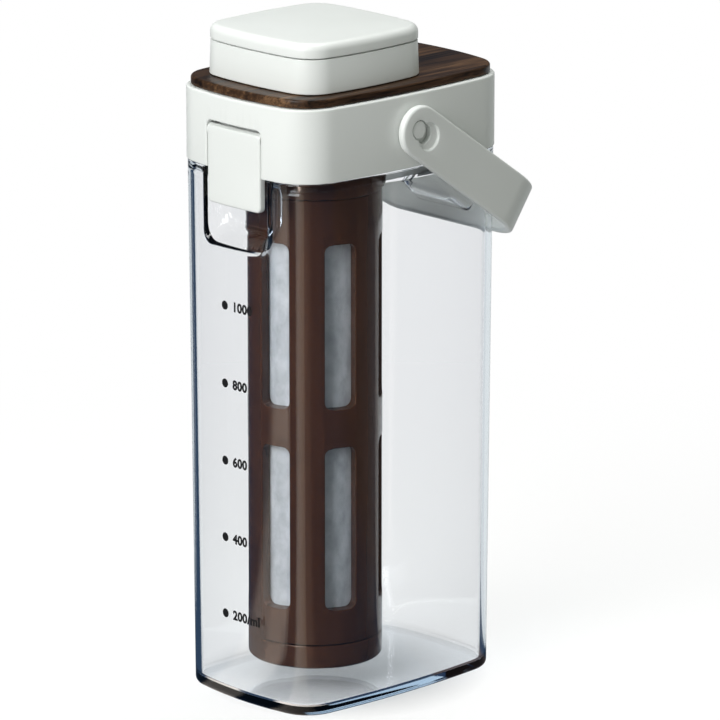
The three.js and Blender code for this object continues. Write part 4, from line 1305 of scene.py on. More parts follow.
@dataclass
class ScaleMarks:
    """The printed scale on the jug's front: a dot and a plain number for each 200 ml."""

    jug: Jug
    first_z: float = 0.0331
    step: float = 0.02967
    step_ml: int = 200
    count: int = 5
    dot_x: float = -0.0052
    dot_radius: float = 0.0017
    dot_steps: int = 32
    dot_face_shares: tuple[float, float] = (0.97, 0.5)
    number_x: float = -0.0009
    letter_size: float = 0.0049
    letter_weight: float = 0.0002
    letter_spacing: float = 1.05
    curve_steps: int = 4
    column_lean: float = 0.0139
    ink_depth: float = 0.00006

    def on_face(self, piece: Piece) -> None:
        """Lays a flat mark on the jug's curved front.

        Args:
            piece: The mark, drawn in XZ.
        """
        for vertex in piece.data.vertices:
            x, y, z = vertex.co
            vertex.co.y = self.jug.plan.front(x, self.jug.inset(z)) - self.ink_depth + y

    def dot(self, x: float, z: float) -> Piece:
        """Models one round dot.

        Args:
            x: Its place across the face.
            z: Its height.

        Returns:
            The dot.
        """
        full, deep = self.dot_radius, self.ink_depth
        edge, inner = (full * share for share in self.dot_face_shares)
        rings = []
        for radius, depth in ((full, deep), (full, deep / 3), (edge, 0.0), (inner, 0.0)):
            circle = arc(x, z, radius, 0, math.tau, self.dot_steps)[:-1]
            rings.append([Vector((u, depth, v)) for u, v in circle])
        piece = Bench.skin("dot", rings, finish=End.POLE)
        self.on_face(piece)
        return piece

    def number(self, text: str, x: float, z: float) -> Piece:
        """Models one number.

        Args:
            text: What it says.
            x: Where it starts across the face.
            z: The height of its middle.

        Returns:
            The number.
        """
        Bench.pick()
        bpy.ops.object.text_add()
        label = bpy.context.object
        label.data.body = text
        label.data.size = self.letter_size
        label.data.extrude = self.ink_depth / 2
        label.data.offset = self.letter_weight
        label.data.space_character = self.letter_spacing
        label.data.align_y = "CENTER"
        label.data.resolution_u = self.curve_steps
        bpy.ops.object.convert(target="MESH")
        label = bpy.context.object
        upright = Matrix.Translation((x, self.ink_depth / 2, z)) @ Matrix.Rotation(QUARTER_TURN, 4, "X")
        label.data.transform(upright)
        self.on_face(label)
        return label

    def build(self, finishes: Finishes) -> None:
        """Models the marks as one printed piece and dresses it.

        Args:
            finishes: The materials.
        """
        parts = []
        for index in range(self.count):
            z = self.first_z + self.step * index
            lean = self.column_lean * self.step * (index + 1 - self.count)
            text = str(self.step_ml * (index + 1)) + ("/ml" if index == 0 else "")
            parts += [self.dot(self.dot_x + lean, z), self.number(text, self.number_x + lean, z)]
        Bench.pick()
        for part in parts:
            part.select_set(True)
        bpy.context.view_layer.objects.active = parts[0]
        bpy.ops.object.join()
        marks = bpy.context.object
        marks.name = "scale_marks"
        finish_piece(marks, finishes.ink, Body.ROOT, None)


@dataclass
class Lid:
    """The white band and deck, the wood plate on it, and the sealing parts below."""

    plan: BulgedPlan
    column_y: float
    band_wall: float = 0.0026
    deck: float = 0.0023
    edge: float = 0.0008
    lower_edge: float = 0.0003
    wood_inset: float = 0.0017
    wood_edge: float = 0.001
    notch_half_width: float = 0.0146
    notch_corner: float = 0.0024
    notch_top: float = 0.2202
    notch_edge: float = 0.0005
    neck_hole: float = 0.0289
    neck_steps: int = 96
    hinge: LatchHinge = LatchHinge()
    pin_reach: float = 0.0177
    cheek_thickness: float = 0.004
    cheek_half_height: float = 0.0034
    pivot: BailPivot = BailPivot()
    boss_radius: float = 0.0054
    boss_length: float = 0.0026

    def notch(self) -> Piece:
        """Models the opening in the band in which the front latch hangs.

        Returns:
            The cutter.
        """
        outline = Outline(
            self.notch_half_width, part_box("lid_shell")[0].z - OVERRUN * 2, self.notch_top,
            self.notch_corner, self.notch_corner,
        )
        mouth = eased_mouth(self.notch_edge)
        layers = [(mouth[0][0], -OVERRUN), *mouth, (0.0, self.band_wall + OVERRUN)]
        rings = [
            [Vector((x, self.plan.front(x, 0) + depth, z)) for x, z in outline.ring(growth)]
            for growth, depth in layers
        ]
        return Bench.skin("notch", rings)

    def neck_cutter(self, low: float, high: float) -> Piece:
        """A cutter for the filter's neck, which runs past two heights."""
        ends = along_z(self.column_y, low - OVERRUN, high + OVERRUN)
        return Bench.bar("neck_hole", self.neck_hole, ends, self.neck_steps)

    def build(self, finishes: Finishes) -> None:
        """Models the band and the wood plate, and dresses the parts inside.

        Args:
            finishes: The materials.
        """
        self.build_band(finishes)
        self.build_plate(finishes)
        dress_node("lid_tray", finishes.white)
        dress_node("fill_neck", finishes.white)
        dress_node("lid_gasket", finishes.silicone)

    def build_band(self, finishes: Finishes) -> None:
        """Models the white band and deck.

        Args:
            finishes: The materials.
        """
        low, high = (corner.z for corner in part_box("lid_shell"))
        profile = rounded([
            (self.band_wall * 2, high - self.deck, 0),
            (self.band_wall, high - self.deck, 0),
            (self.band_wall, low, self.lower_edge),
            (0, low, self.lower_edge),
            (0, high, self.edge),
            (self.edge * 3, high, 0),
        ])
        band = Bench.moulding("lid_band", self.plan, profile)
        notch = self.notch()
        Bench.cut(band, Bench.copy(notch, "notch_back", TO_BACK), notch)
        Bench.unite(band, *self.cheeks(), *self.bosses())
        side = self.plan.half_width + OVERRUN
        stud_hole = Bench.bar(
            "stud_hole", self.pivot.stud + SEAT_GAP, along_x(-side, side, 0, self.pivot.z),
        )
        reach = self.pin_reach + SEAT_GAP
        pin_hole = Bench.bar(
            "pin_hole", self.hinge.bore, along_x(-reach, reach, self.hinge.y, self.hinge.z),
        )
        back_hole = Bench.copy(pin_hole, "pin_hole_back", TO_BACK)
        Bench.cut(band, stud_hole, pin_hole, back_hole, self.neck_cutter(high - self.deck, high))
        finish_piece(band, finishes.white, Body.ROOT, "white_plastic", "lid_shell")

    def cheeks(self) -> list[Piece]:
        """Models the cheeks that hold the latches' pins.

        Returns:
            The cheeks: right and left at the front, then the same at the back.
        """
        hinge = self.hinge
        inner, height = self.notch_half_width, self.cheek_half_height
        right = Bench.block(
            "cheek",
            Vector((inner, hinge.y - hinge.bore, hinge.z - height)),
            Vector((inner + self.cheek_thickness, hinge.y + hinge.barrel, hinge.z + height)),
        )
        front = [right, Bench.copy(right, "cheek_left", TO_LEFT)]
        return front + [Bench.copy(cheek, cheek.name + "_back", TO_BACK) for cheek in front]

    def bosses(self) -> list[Piece]:
        """Models the bosses that hold the bail's studs.

        Returns:
            The right boss and the left one.
        """
        side = self.plan.half_width - self.band_wall
        ends = along_x(side - self.boss_length, side + self.band_wall / 2, 0, self.pivot.z)
        right = Bench.bar("boss", self.boss_radius, ends)
        return [right, Bench.copy(right, "boss_left", TO_LEFT)]

    def build_plate(self, finishes: Finishes) -> None:
        """Models the wood plate.

        Args:
            finishes: The materials.
        """
        low, high = (corner.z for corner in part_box("wood_plate"))
        edge = self.wood_edge
        profile = rounded([
            (self.wood_inset + edge * 3, low, 0),
            (self.wood_inset, low, edge / 3),
            (self.wood_inset, high, edge),
            (self.wood_inset + edge * 3, high, 0),
        ])
        plate = Bench.moulding("walnut_plate", self.plan, profile)
        Bench.cut(plate, self.neck_cutter(low, high))
        finish_piece(plate, finishes.walnut, Body.ROOT, "walnut", "wood_plate")


@dataclass
class Knob:
    """The rounded square knob: a ring, a crowned cap plate and the plug below."""

    column_y: float
    bulge: float = 0.0029
    corner_radius: float = 0.0117
    side_steps: int = 20
    draft: float = 0.0005
    wall: float = 0.0024
    deck: float = 0.0022
    lower_edge: float = 0.0004
    upper_edge: float = 0.0003
    hole: float = 0.0103
    top_edge: float = 0.0029
    top_edge_steps: int = 8
    top_inset: float = 0.00035
    crown: float = 0.0006
    crown_rings: int = 12

    @cached_property
    def plan(self) -> BulgedPlan:
        """The knob's own plan.

        Returns:
            The plan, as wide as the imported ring.
        """
        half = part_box("knob_ring")[1].x
        return BulgedPlan(
            half, half, self.bulge, self.bulge, self.corner_radius, self.column_y, self.side_steps,
        )

    def build(self, finishes: Finishes) -> None:
        """Models the ring and the cap plate, and dresses the plug and its seal.

        Args:
            finishes: The materials.
        """
        low, high = (corner.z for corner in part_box("knob_ring"))
        ceiling = high - self.deck
        profile = rounded([
            (self.wall * 2, ceiling, 0),
            (self.wall + self.draft, ceiling, 0),
            (self.wall, low, self.lower_edge),
            (0, low, self.lower_edge),
            (self.draft, high, self.upper_edge),
            (self.wall * 2, high, 0),
        ])
        ring = Bench.moulding("knob_body", self.plan, profile)
        ends = along_z(self.column_y, ceiling - OVERRUN, high + OVERRUN)
        Bench.cut(ring, Bench.bar("screw_hole", self.hole, ends))
        finish_piece(ring, finishes.white, Body.KNOB, "white_plastic", "knob_ring")
        self.build_top(finishes)
        dress_node("knob_core", finishes.white)
        dress_node("knob_seal", finishes.silicone)

    def build_top(self, finishes: Finishes) -> None:
        """Models the crowned cap plate.

        Args:
            finishes: The materials.
        """
        low, high = (corner.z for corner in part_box("knob_top"))
        rim = high - self.crown
        edge = self.top_edge
        profile = rounded([
            (self.top_inset + edge * 2, low, 0),
            (self.top_inset, low, self.upper_edge),
            (self.top_inset, rim, edge),
            (self.top_inset + edge * 2, rim, 0),
        ], self.top_edge_steps)[:-1]
        rings = [self.plan.ring(inset, z) for inset, z in profile]
        outer = self.plan.ring(self.top_inset + edge, rim)
        middle = self.column_y
        for step in range(1, self.crown_rings):
            share = 1 - step / self.crown_rings
            height = rim + self.crown * (1 - share ** 2)
            rings.append([Vector((p.x * share, middle + (p.y - middle) * share, height)) for p in outer])
        top = Bench.skin("knob_cap_plate", rings, finish=End.POLE)
        finish_piece(top, finishes.white, Body.KNOB, "white_plastic", "knob_top")


@dataclass
class Filter:
    """The long brown filter: collar, windowed cage, mesh sleeve and base cap."""

    column_y: float
    steps: int = 192
    wall: float = 0.0043
    socket_wall: float = 0.0039
    mesh_wall: float = 0.0007
    cap_edge: float = 0.0014
    cap_floor: float = 0.002
    line_edge: float = 0.0005
    spigot_step: float = 0.0018
    spigot_height: float = 0.007
    collar_bore: float = 0.0208
    collar_radius: float = 0.0249
    neck_radius: float = 0.0226
    flange_low: float = 0.2092
    flange_high: float = 0.2114
    lug_reach: float = 0.0014
    lug_height: float = 0.0022
    lug_lift: float = 0.005
    lug_arc: float = math.radians(12)
    lug_steps: int = 8
    lug_count: int = 3
    window_count: int = 6
    window_phase: float = math.radians(-20)
    window_half_width: float = 0.0056
    window_corner: float = 0.003
    window_edge: float = 0.0004
    window_bottoms: tuple[float, float] = (0.0346, 0.1118)
    window_height: float = 0.0626
    cap_joint: float = 0.021
    cap_spigot_height: float = 0.006
    cap_spigot_wall: float = 0.0016
    seal_height: float = 0.0016
    seal_depth: float = 0.0008

    @cached_property
    def radius(self) -> float:
        """The cage's outer radius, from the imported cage."""
        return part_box("filter_cage")[1].x

    @property
    def bore(self) -> float:
        """The cage's bore radius."""
        return self.radius - self.wall

    @property
    def socket(self) -> float:
        """The radius of the cage's lower end that takes the cap's spigot."""
        return self.radius - self.socket_wall

    def turned(self, name: str, corners: Sequence[Corner], closed: bool = True) -> Piece:
        """A piece turned about the filter's axis from rounded corners."""
        centre = Vector((0, self.column_y, 0))
        return Bench.turn(name, rounded(corners, closed=closed), self.steps, centre, Z_AXIS, closed)

    def window(self, bottom: float, angle: float) -> Piece:
        """Models one window's cutter, which follows the cage's wall and leaves a rounded edge.

        Args:
            bottom: The window's lower edge.
            angle: Where it lies round the cage, from +X.

        Returns:
            The cutter.
        """
        corner = self.window_corner
        outline = Outline(self.window_half_width, bottom, bottom + self.window_height, corner, corner)
        mouth = eased_mouth(self.window_edge)
        layers = [(mouth[0][0], -OVERRUN), *mouth, (0.0, self.wall * 2)]
        rings = []
        for growth, depth in layers:
            ring = outline.ring(growth)
            rings.append([Vector((math.sqrt(self.radius ** 2 - u ** 2) - depth, u, v)) for u, v in ring])
        cutter = Bench.skin("window", rings)
        turn = Matrix.Rotation(angle, 4, "Z")
        cutter.data.transform(Matrix.Translation((0, self.column_y, 0)) @ turn)
        return cutter

    def build(self, finishes: Finishes) -> None:
        """Models the filter's pieces and dresses them.

        Args:
            finishes: The materials.
        """
        self.build_cage(finishes)
        self.build_collar(finishes)
        self.build_mesh(finishes)
        self.build_cap(finishes)
        dress_node("filter_seat_seal", finishes.silicone)
        dress_node("filter_base_seal", finishes.silicone)

    def build_cage(self, finishes: Finishes) -> None:
        """Models the windowed cage.

        Args:
            finishes: The materials.
        """
        low, high = (corner.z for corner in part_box("filter_cage"))
        top = high - self.spigot_height
        spigot = self.radius - self.spigot_step
        line = self.line_edge
        socket_top = self.cap_joint + self.cap_spigot_height + SEAT_GAP
        cage = self.turned("filter_cage_tube", [
            (self.bore, socket_top, 0),
            (self.socket, socket_top, 0),
            (self.socket, low, 0),
            (self.radius, low, line),
            (self.radius, top, line),
            (spigot, top, 0),
            (spigot, high, line),
            (self.bore, high, line),
        ])
        for bottom in self.window_bottoms:
            for index in range(self.window_count):
                angle = self.window_phase + math.tau * index / self.window_count
                Bench.cut(cage, self.window(bottom, angle))
        finish_piece(cage, finishes.brown, Body.FILTER, "brown_plastic", "filter_cage")

    def build_collar(self, finishes: Finishes) -> None:
        """Models the collar that hangs in the lid's neck.

        Args:
            finishes: The materials.
        """
        low, high = (corner.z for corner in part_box("filter_collar"))
        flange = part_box("filter_collar")[1].x
        socket = self.radius - self.spigot_step + SEAT_GAP
        socket_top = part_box("filter_cage")[1].z + SEAT_GAP
        line = self.line_edge
        collar = self.turned("filter_hanger_collar", [
            (socket, low, 0),
            (self.collar_radius, low, line),
            (self.collar_radius, self.flange_low, 0),
            (flange, self.flange_low, line),
            (flange, self.flange_high, line),
            (self.neck_radius, self.flange_high, 0),
            (self.neck_radius, high, line),
            (self.collar_bore, high, line),
            (self.collar_bore, socket_top, 0),
            (socket, socket_top, 0),
        ])
        for index in range(self.lug_count):
            Bench.unite(collar, self.lug(math.tau * index / self.lug_count))
        finish_piece(collar, finishes.brown, Body.FILTER, "brown_plastic", "filter_collar")

    def lug(self, angle: float) -> Piece:
        """Models one bayonet lug on the collar's neck.

        Args:
            angle: Where it lies round the neck, from +X.

        Returns:
            The lug.
        """
        low = self.flange_high + self.lug_lift
        half = self.lug_arc / 2
        inner = self.neck_radius - self.lug_reach
        outer = self.neck_radius + self.lug_reach
        plan = arc(0, 0, outer, angle - half, angle + half, self.lug_steps)
        plan += arc(0, 0, inner, angle + half, angle - half, self.lug_steps)
        levels = (low, low + self.lug_height)
        return Bench.skin("lug", [[Vector((x, y + self.column_y, z)) for x, y in plan] for z in levels])

    def build_mesh(self, finishes: Finishes) -> None:
        """Models the mesh sleeve behind the windows.

        Args:
            finishes: The materials.
        """
        low, high = (corner.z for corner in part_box("filter_mesh"))
        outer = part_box("filter_mesh")[1].x
        inner = outer - self.mesh_wall
        sleeve = self.turned("filter_mesh_sleeve", [
            (inner, low, 0), (outer, low, 0), (outer, high, 0), (inner, high, 0),
        ])
        finish_piece(sleeve, finishes.cloth, Body.FILTER, "filter_mesh", "filter_mesh")

    def build_cap(self, finishes: Finishes) -> None:
        """Models the base cap.

        Args:
            finishes: The materials.
        """
        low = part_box("filter_base_cap")[0].z
        top, spigot_top = self.cap_joint, self.cap_joint + self.cap_spigot_height
        spigot = self.socket - SEAT_GAP
        groove_low = spigot_top - self.seal_height * 2
        groove_high = spigot_top - self.seal_height + SEAT_GAP
        inner = spigot - self.cap_spigot_wall
        floor = low + self.cap_floor
        cap = self.turned("filter_foot_cap", [
            (0, low, 0),
            (self.radius, low, self.cap_edge),
            (self.radius, top, self.line_edge),
            (spigot, top, 0),
            (spigot, groove_low, 0),
            (spigot - self.seal_depth, groove_low, 0),
            (spigot - self.seal_depth, groove_high, 0),
            (spigot, groove_high, 0),
            (spigot, spigot_top, self.line_edge),
            (inner, spigot_top, self.line_edge),
            (inner, floor, self.cap_floor),
            (0, floor, 0),
        ], closed=False)
        finish_piece(cap, finishes.brown, Body.FILTER_BASE, "brown_plastic", "filter_base_cap")


@dataclass
class Latch:
    """A white tab flush with the band, with its hinge barrel and the hook behind it."""

    plan: BulgedPlan
    half_width: float = 0.0142
    low: float = 0.1895
    high: float = 0.2185
    corner: float = 0.002
    thickness: float = 0.0026
    edge: float = 0.0008
    hinge: LatchHinge = LatchHinge()
    hook_top: float = 0.1994
    hook_reach: float = 0.0026
    hook_height: float = 0.0024
    hook_half_width: float = 0.01
    face_rings: int = 8

    def tab(self) -> Piece:
        """Models the tab itself, curved as the band is.

        Returns:
            The tab.
        """
        outline = Outline(self.half_width, self.low, self.high, self.corner, self.corner)
        inner_edge = self.edge / 3
        front = [(-growth, depth) for growth, depth in eased_mouth(self.edge)]
        back = [(-growth, self.thickness - depth) for growth, depth in reversed(eased_mouth(inner_edge))]
        shares = [step / self.face_rings for step in range(1, self.face_rings)]
        rings = [self.face_ring(outline.ring(-self.edge), share, 0.0) for share in shares]
        for growth, depth in front + back:
            rings.append([self.on_band(u, v, depth) for u, v in outline.ring(growth)])
        for share in reversed(shares):
            rings.append(self.face_ring(outline.ring(-inner_edge), share, self.thickness))
        return Bench.skin("latch", rings, start=End.POLE, finish=End.POLE)

    def face_ring(self, outline: Sequence[Point], share: float, depth: float) -> Ring:
        """A ring within one of the tab's faces, shrunk to a share of the face's outline."""
        middle = (self.low + self.high) / 2
        return [self.on_band(u * share, middle + (v - middle) * share, depth) for u, v in outline]

    def on_band(self, x: float, z: float, depth: float) -> Vector:
        """A point behind the band's face."""
        return Vector((x, self.plan.front(x, 0) + depth, z))

    def hook(self) -> Piece:
        """Models the ramped hook that catches under the jug's ledge.

        Returns:
            The hook.
        """
        face = self.thickness - self.plan.half_depth
        top, reach, height = self.hook_top, self.hook_reach, self.hook_height
        profile = [
            (face - self.thickness / 2, top), (face + reach, top), (face + reach, top - height / 2),
            (face - height / 2, top - height * 2),
        ]
        half = self.hook_half_width
        return Bench.skin("hook", [[Vector((x, y, z)) for y, z in profile] for x in (-half, half)])

    def build(self, finishes: Finishes) -> None:
        """Models the front latch and its copy at the back.

        Args:
            finishes: The materials.
        """
        latch = self.tab()
        hinge, half = self.hinge, self.half_width
        barrel = Bench.bar("barrel", hinge.barrel, along_x(-half, half, hinge.y, hinge.z))
        half += OVERRUN
        bore = Bench.bar("bore", hinge.bore, along_x(-half, half, hinge.y, hinge.z))
        Bench.unite(latch, barrel, self.hook())
        Bench.cut(latch, bore)
        back = Bench.copy(latch, "latch_tab_back", TO_BACK)
        latch.name = "latch_tab_front"
        finish_piece(latch, finishes.white, Body.FRONT_LATCH, "white_plastic", "front_latch")
        finish_piece(back, finishes.white, Body.BACK_LATCH, "white_plastic", "back_latch")
        dress_node("front_latch_pin", finishes.steel)
        dress_node("back_latch_pin", finishes.steel)


@dataclass
class BailHandle:
    """The white bail that swings on a stud at each side, with a slot at each root."""

    side_x: float
    pivot: BailPivot = BailPivot()
    rest_angle: float = math.radians(34.9)
    side_gap: float = 0.0004
    thickness: float = 0.0032
    half_width: float = 0.0096
    bend: float = 0.018
    eye: float = 0.0014
    edge: float = 0.0011
    slot_far: float = 0.0036
    slot_radius: float = 0.0037
    slot_edge: float = 0.0003
    dish_reach: float = 0.0056
    dish_radius: float = 0.0051
    dish_depth: float = 0.0011
    dish_edge: float = 0.0005
    dish_run: float = 0.00005
    stud_inset: float = 0.0004
    stud_edge: float = 0.0004
    stud_inner_x: float = 0.0336
    stud_steps: int = 64
    root_steps: int = 14
    bend_steps: int = 20
    run_steps: int = 4
    edge_steps: int = 5
    width_steps: int = 8
    opening_steps: int = 24

    @property
    def inner_x(self) -> float:
        """Where the arms' inner faces lie."""
        return self.side_x + self.side_gap

    @property
    def outer_x(self) -> float:
        """Where the arms' outer faces lie."""
        return self.inner_x + self.thickness

    @cached_property
    def end(self) -> float:
        """How far the crossbar's outer face lies along the arms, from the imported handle."""
        reach_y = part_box("handle")[1].y
        return (reach_y - self.half_width * math.sin(self.rest_angle)) / math.cos(self.rest_angle)

    def section(self) -> list[Point]:
        """Draws the strip's section, with rounded edges.

        Returns:
            The section's points as (out from the strip's middle, across it).
        """
        half, wide = self.thickness / 2, self.half_width
        signs = ((1, 1), (-1, 1), (-1, -1), (1, -1))
        corners = [(half * out, wide * across, self.edge) for out, across in signs]
        ring = rounded(corners, self.edge_steps, closed=True)
        points: list[Point] = []
        for here, following in zip(ring, ring[1:] + ring[:1]):
            crosses = abs(following[1] - here[1]) > wide
            points += stretch(here, following, self.width_steps if crosses else 1)
        return points

    def root_section(self, back: float) -> list[Point]:
        """The section of the rounded root, behind the centre of its rounding.

        Args:
            back: How far behind the centre the section lies.

        Returns:
            The section's points, matching those of the plain strip.
        """
        half, flat = self.thickness / 2, self.half_width - self.edge
        points: list[Point] = []
        for out, across in self.section():
            radius = max(abs(across), back)
            spare = radius * radius - back * back
            width = math.copysign(math.sqrt(spare), across) if spare > ROUNDING ** 2 else 0.0
            if radius > flat and radius > abs(across):
                limit = half - self.edge + math.sqrt(max(self.edge ** 2 - (radius - flat) ** 2, 0))
                out = max(min(out, limit), -limit)
            points.append((out, width))
        return points

    def stations(self) -> list[Station]:
        """Lists places along the bail, from the right root round to the left one.

        Returns:
            At each place the strip's middle, its outward direction and its section.
        """
        middle_x = (self.inner_x + self.outer_x) / 2
        arm_end = self.end - self.bend
        plain = self.section()
        sideways = Vector((1, 0))
        right: list[Station] = []
        for step in range(self.root_steps):
            back = self.half_width * math.cos(QUARTER_TURN * step / self.root_steps)
            right.append((Vector((middle_x, self.eye - back)), sideways, self.root_section(back)))
        for step in range(self.run_steps + 1):
            along = self.eye + (arm_end - self.eye) * step / self.run_steps
            right.append((Vector((middle_x, along)), sideways, plain))
        centre = Vector((self.outer_x - self.bend, arm_end))
        radius = self.bend - self.thickness / 2
        for step in range(1, self.bend_steps + 1):
            angle = QUARTER_TURN * step / self.bend_steps
            out = Vector((math.cos(angle), math.sin(angle)))
            right.append((centre + out * radius, out, plain))
        left = [
            (Vector((-place.x, place.y)), Vector((-out.x, out.y)), section)
            for place, out, section in reversed(right)
        ]
        return right + left

    def placed(self, x: float, along: float, across: float) -> Vector:
        """A point of the bail at rest.

        Args:
            x: Its place across the maker.
            along: How far it lies from the axis along the arms.
            across: How far it lies from the arms' middle line.

        Returns:
            The point.
        """
        sine, cosine = math.sin(self.rest_angle), math.cos(self.rest_angle)
        rise = across * cosine - along * sine
        return Vector((x, along * cosine + across * sine, self.pivot.z + rise))

    def opening(
        self, side: int, ends: tuple[float, float], radius: float, layers: Sequence[Point]
    ) -> Piece:
        """A cutter for an opening at one root.

        Args:
            side: 1 for the right arm, -1 for the left.
            ends: Where the opening's two end arcs are centred along the arm.
            radius: The end arcs' radius.
            layers: Pairs of (growth, depth), from the arm's outer face inwards.

        Returns:
            The cutter.
        """
        rings = []
        for growth, below in layers:
            reach, steps = radius + growth, self.opening_steps
            plan = arc(ends[1], 0, reach, -QUARTER_TURN, QUARTER_TURN, steps)
            plan += arc(ends[0], 0, reach, QUARTER_TURN, QUARTER_TURN * 3, steps)
            rings.append([self.placed(side * (self.outer_x - below), u, v) for u, v in plan])
        return Bench.skin("opening", rings)

    def cut_root(self, handle: Piece, side: int) -> None:
        """Cuts the slot round the stud and the round dish about its far end.

        Args:
            handle: The bail.
            side: 1 for the right arm, -1 for the left.
        """
        mouth = eased_mouth(self.dish_edge)
        dish = self.opening(
            side, (self.dish_reach - self.dish_run, self.dish_reach), self.dish_radius,
            [(mouth[0][0], -OVERRUN), *mouth, *eased_foot(self.dish_edge, self.dish_depth)],
        )
        mouth = eased_mouth(self.slot_edge)
        slot = self.opening(
            side, (0.0, self.slot_far), self.slot_radius,
            [(mouth[0][0], -OVERRUN), *mouth, (0.0, self.thickness + OVERRUN)],
        )
        Bench.cut(handle, dish, slot)

    def build(self, finishes: Finishes) -> None:
        """Models the bail and its two studs.

        Args:
            finishes: The materials.
        """
        rings = []
        for place, out, section in self.stations():
            rings.append([self.placed(place.x + out.x * u, place.y + out.y * u, v) for u, v in section])
        handle = Bench.skin("bail_handle", rings, start=End.OPEN, finish=End.OPEN)
        for side in (1, -1):
            self.cut_root(handle, side)
        finish_piece(handle, finishes.white, Body.HANDLE, "white_plastic", "handle")
        self.build_studs(finishes)

    def build_studs(self, finishes: Finishes) -> None:
        """Models the studs on which the bail swings.

        Args:
            finishes: The materials.
        """
        end = self.outer_x - self.stud_inset
        radius = self.pivot.stud
        profile = rounded([
            (0, self.stud_inner_x, 0),
            (radius, self.stud_inner_x, self.stud_edge),
            (radius, end, self.stud_edge),
            (0, end, 0),
        ])
        centre = Vector((0, 0, self.pivot.z))
        right = Bench.turn("stud_right", profile, self.stud_steps, centre, X_AXIS, closed=False)
        left = Bench.copy(right, "stud_left", TO_LEFT)
        finish_piece(right, finishes.white, Body.ROOT, "white_plastic", "right_handle_stud")
        finish_piece(left, finishes.white, Body.ROOT, "white_plastic", "left_handle_stud")


@dataclass(frozen=True)
class Card:
    """A card that stands round the maker, between two azimuths, with its colour at each."""

    start: float
    end: float
    first: Colour
    last: Colour


@dataclass(frozen=True)
class Lamp:
    """A soft rectangular lamp that faces the maker, with its power in watts."""

    name: str
    azimuth: float
    elevation: float
    distance: float
    size: tuple[float, float]
    power: float


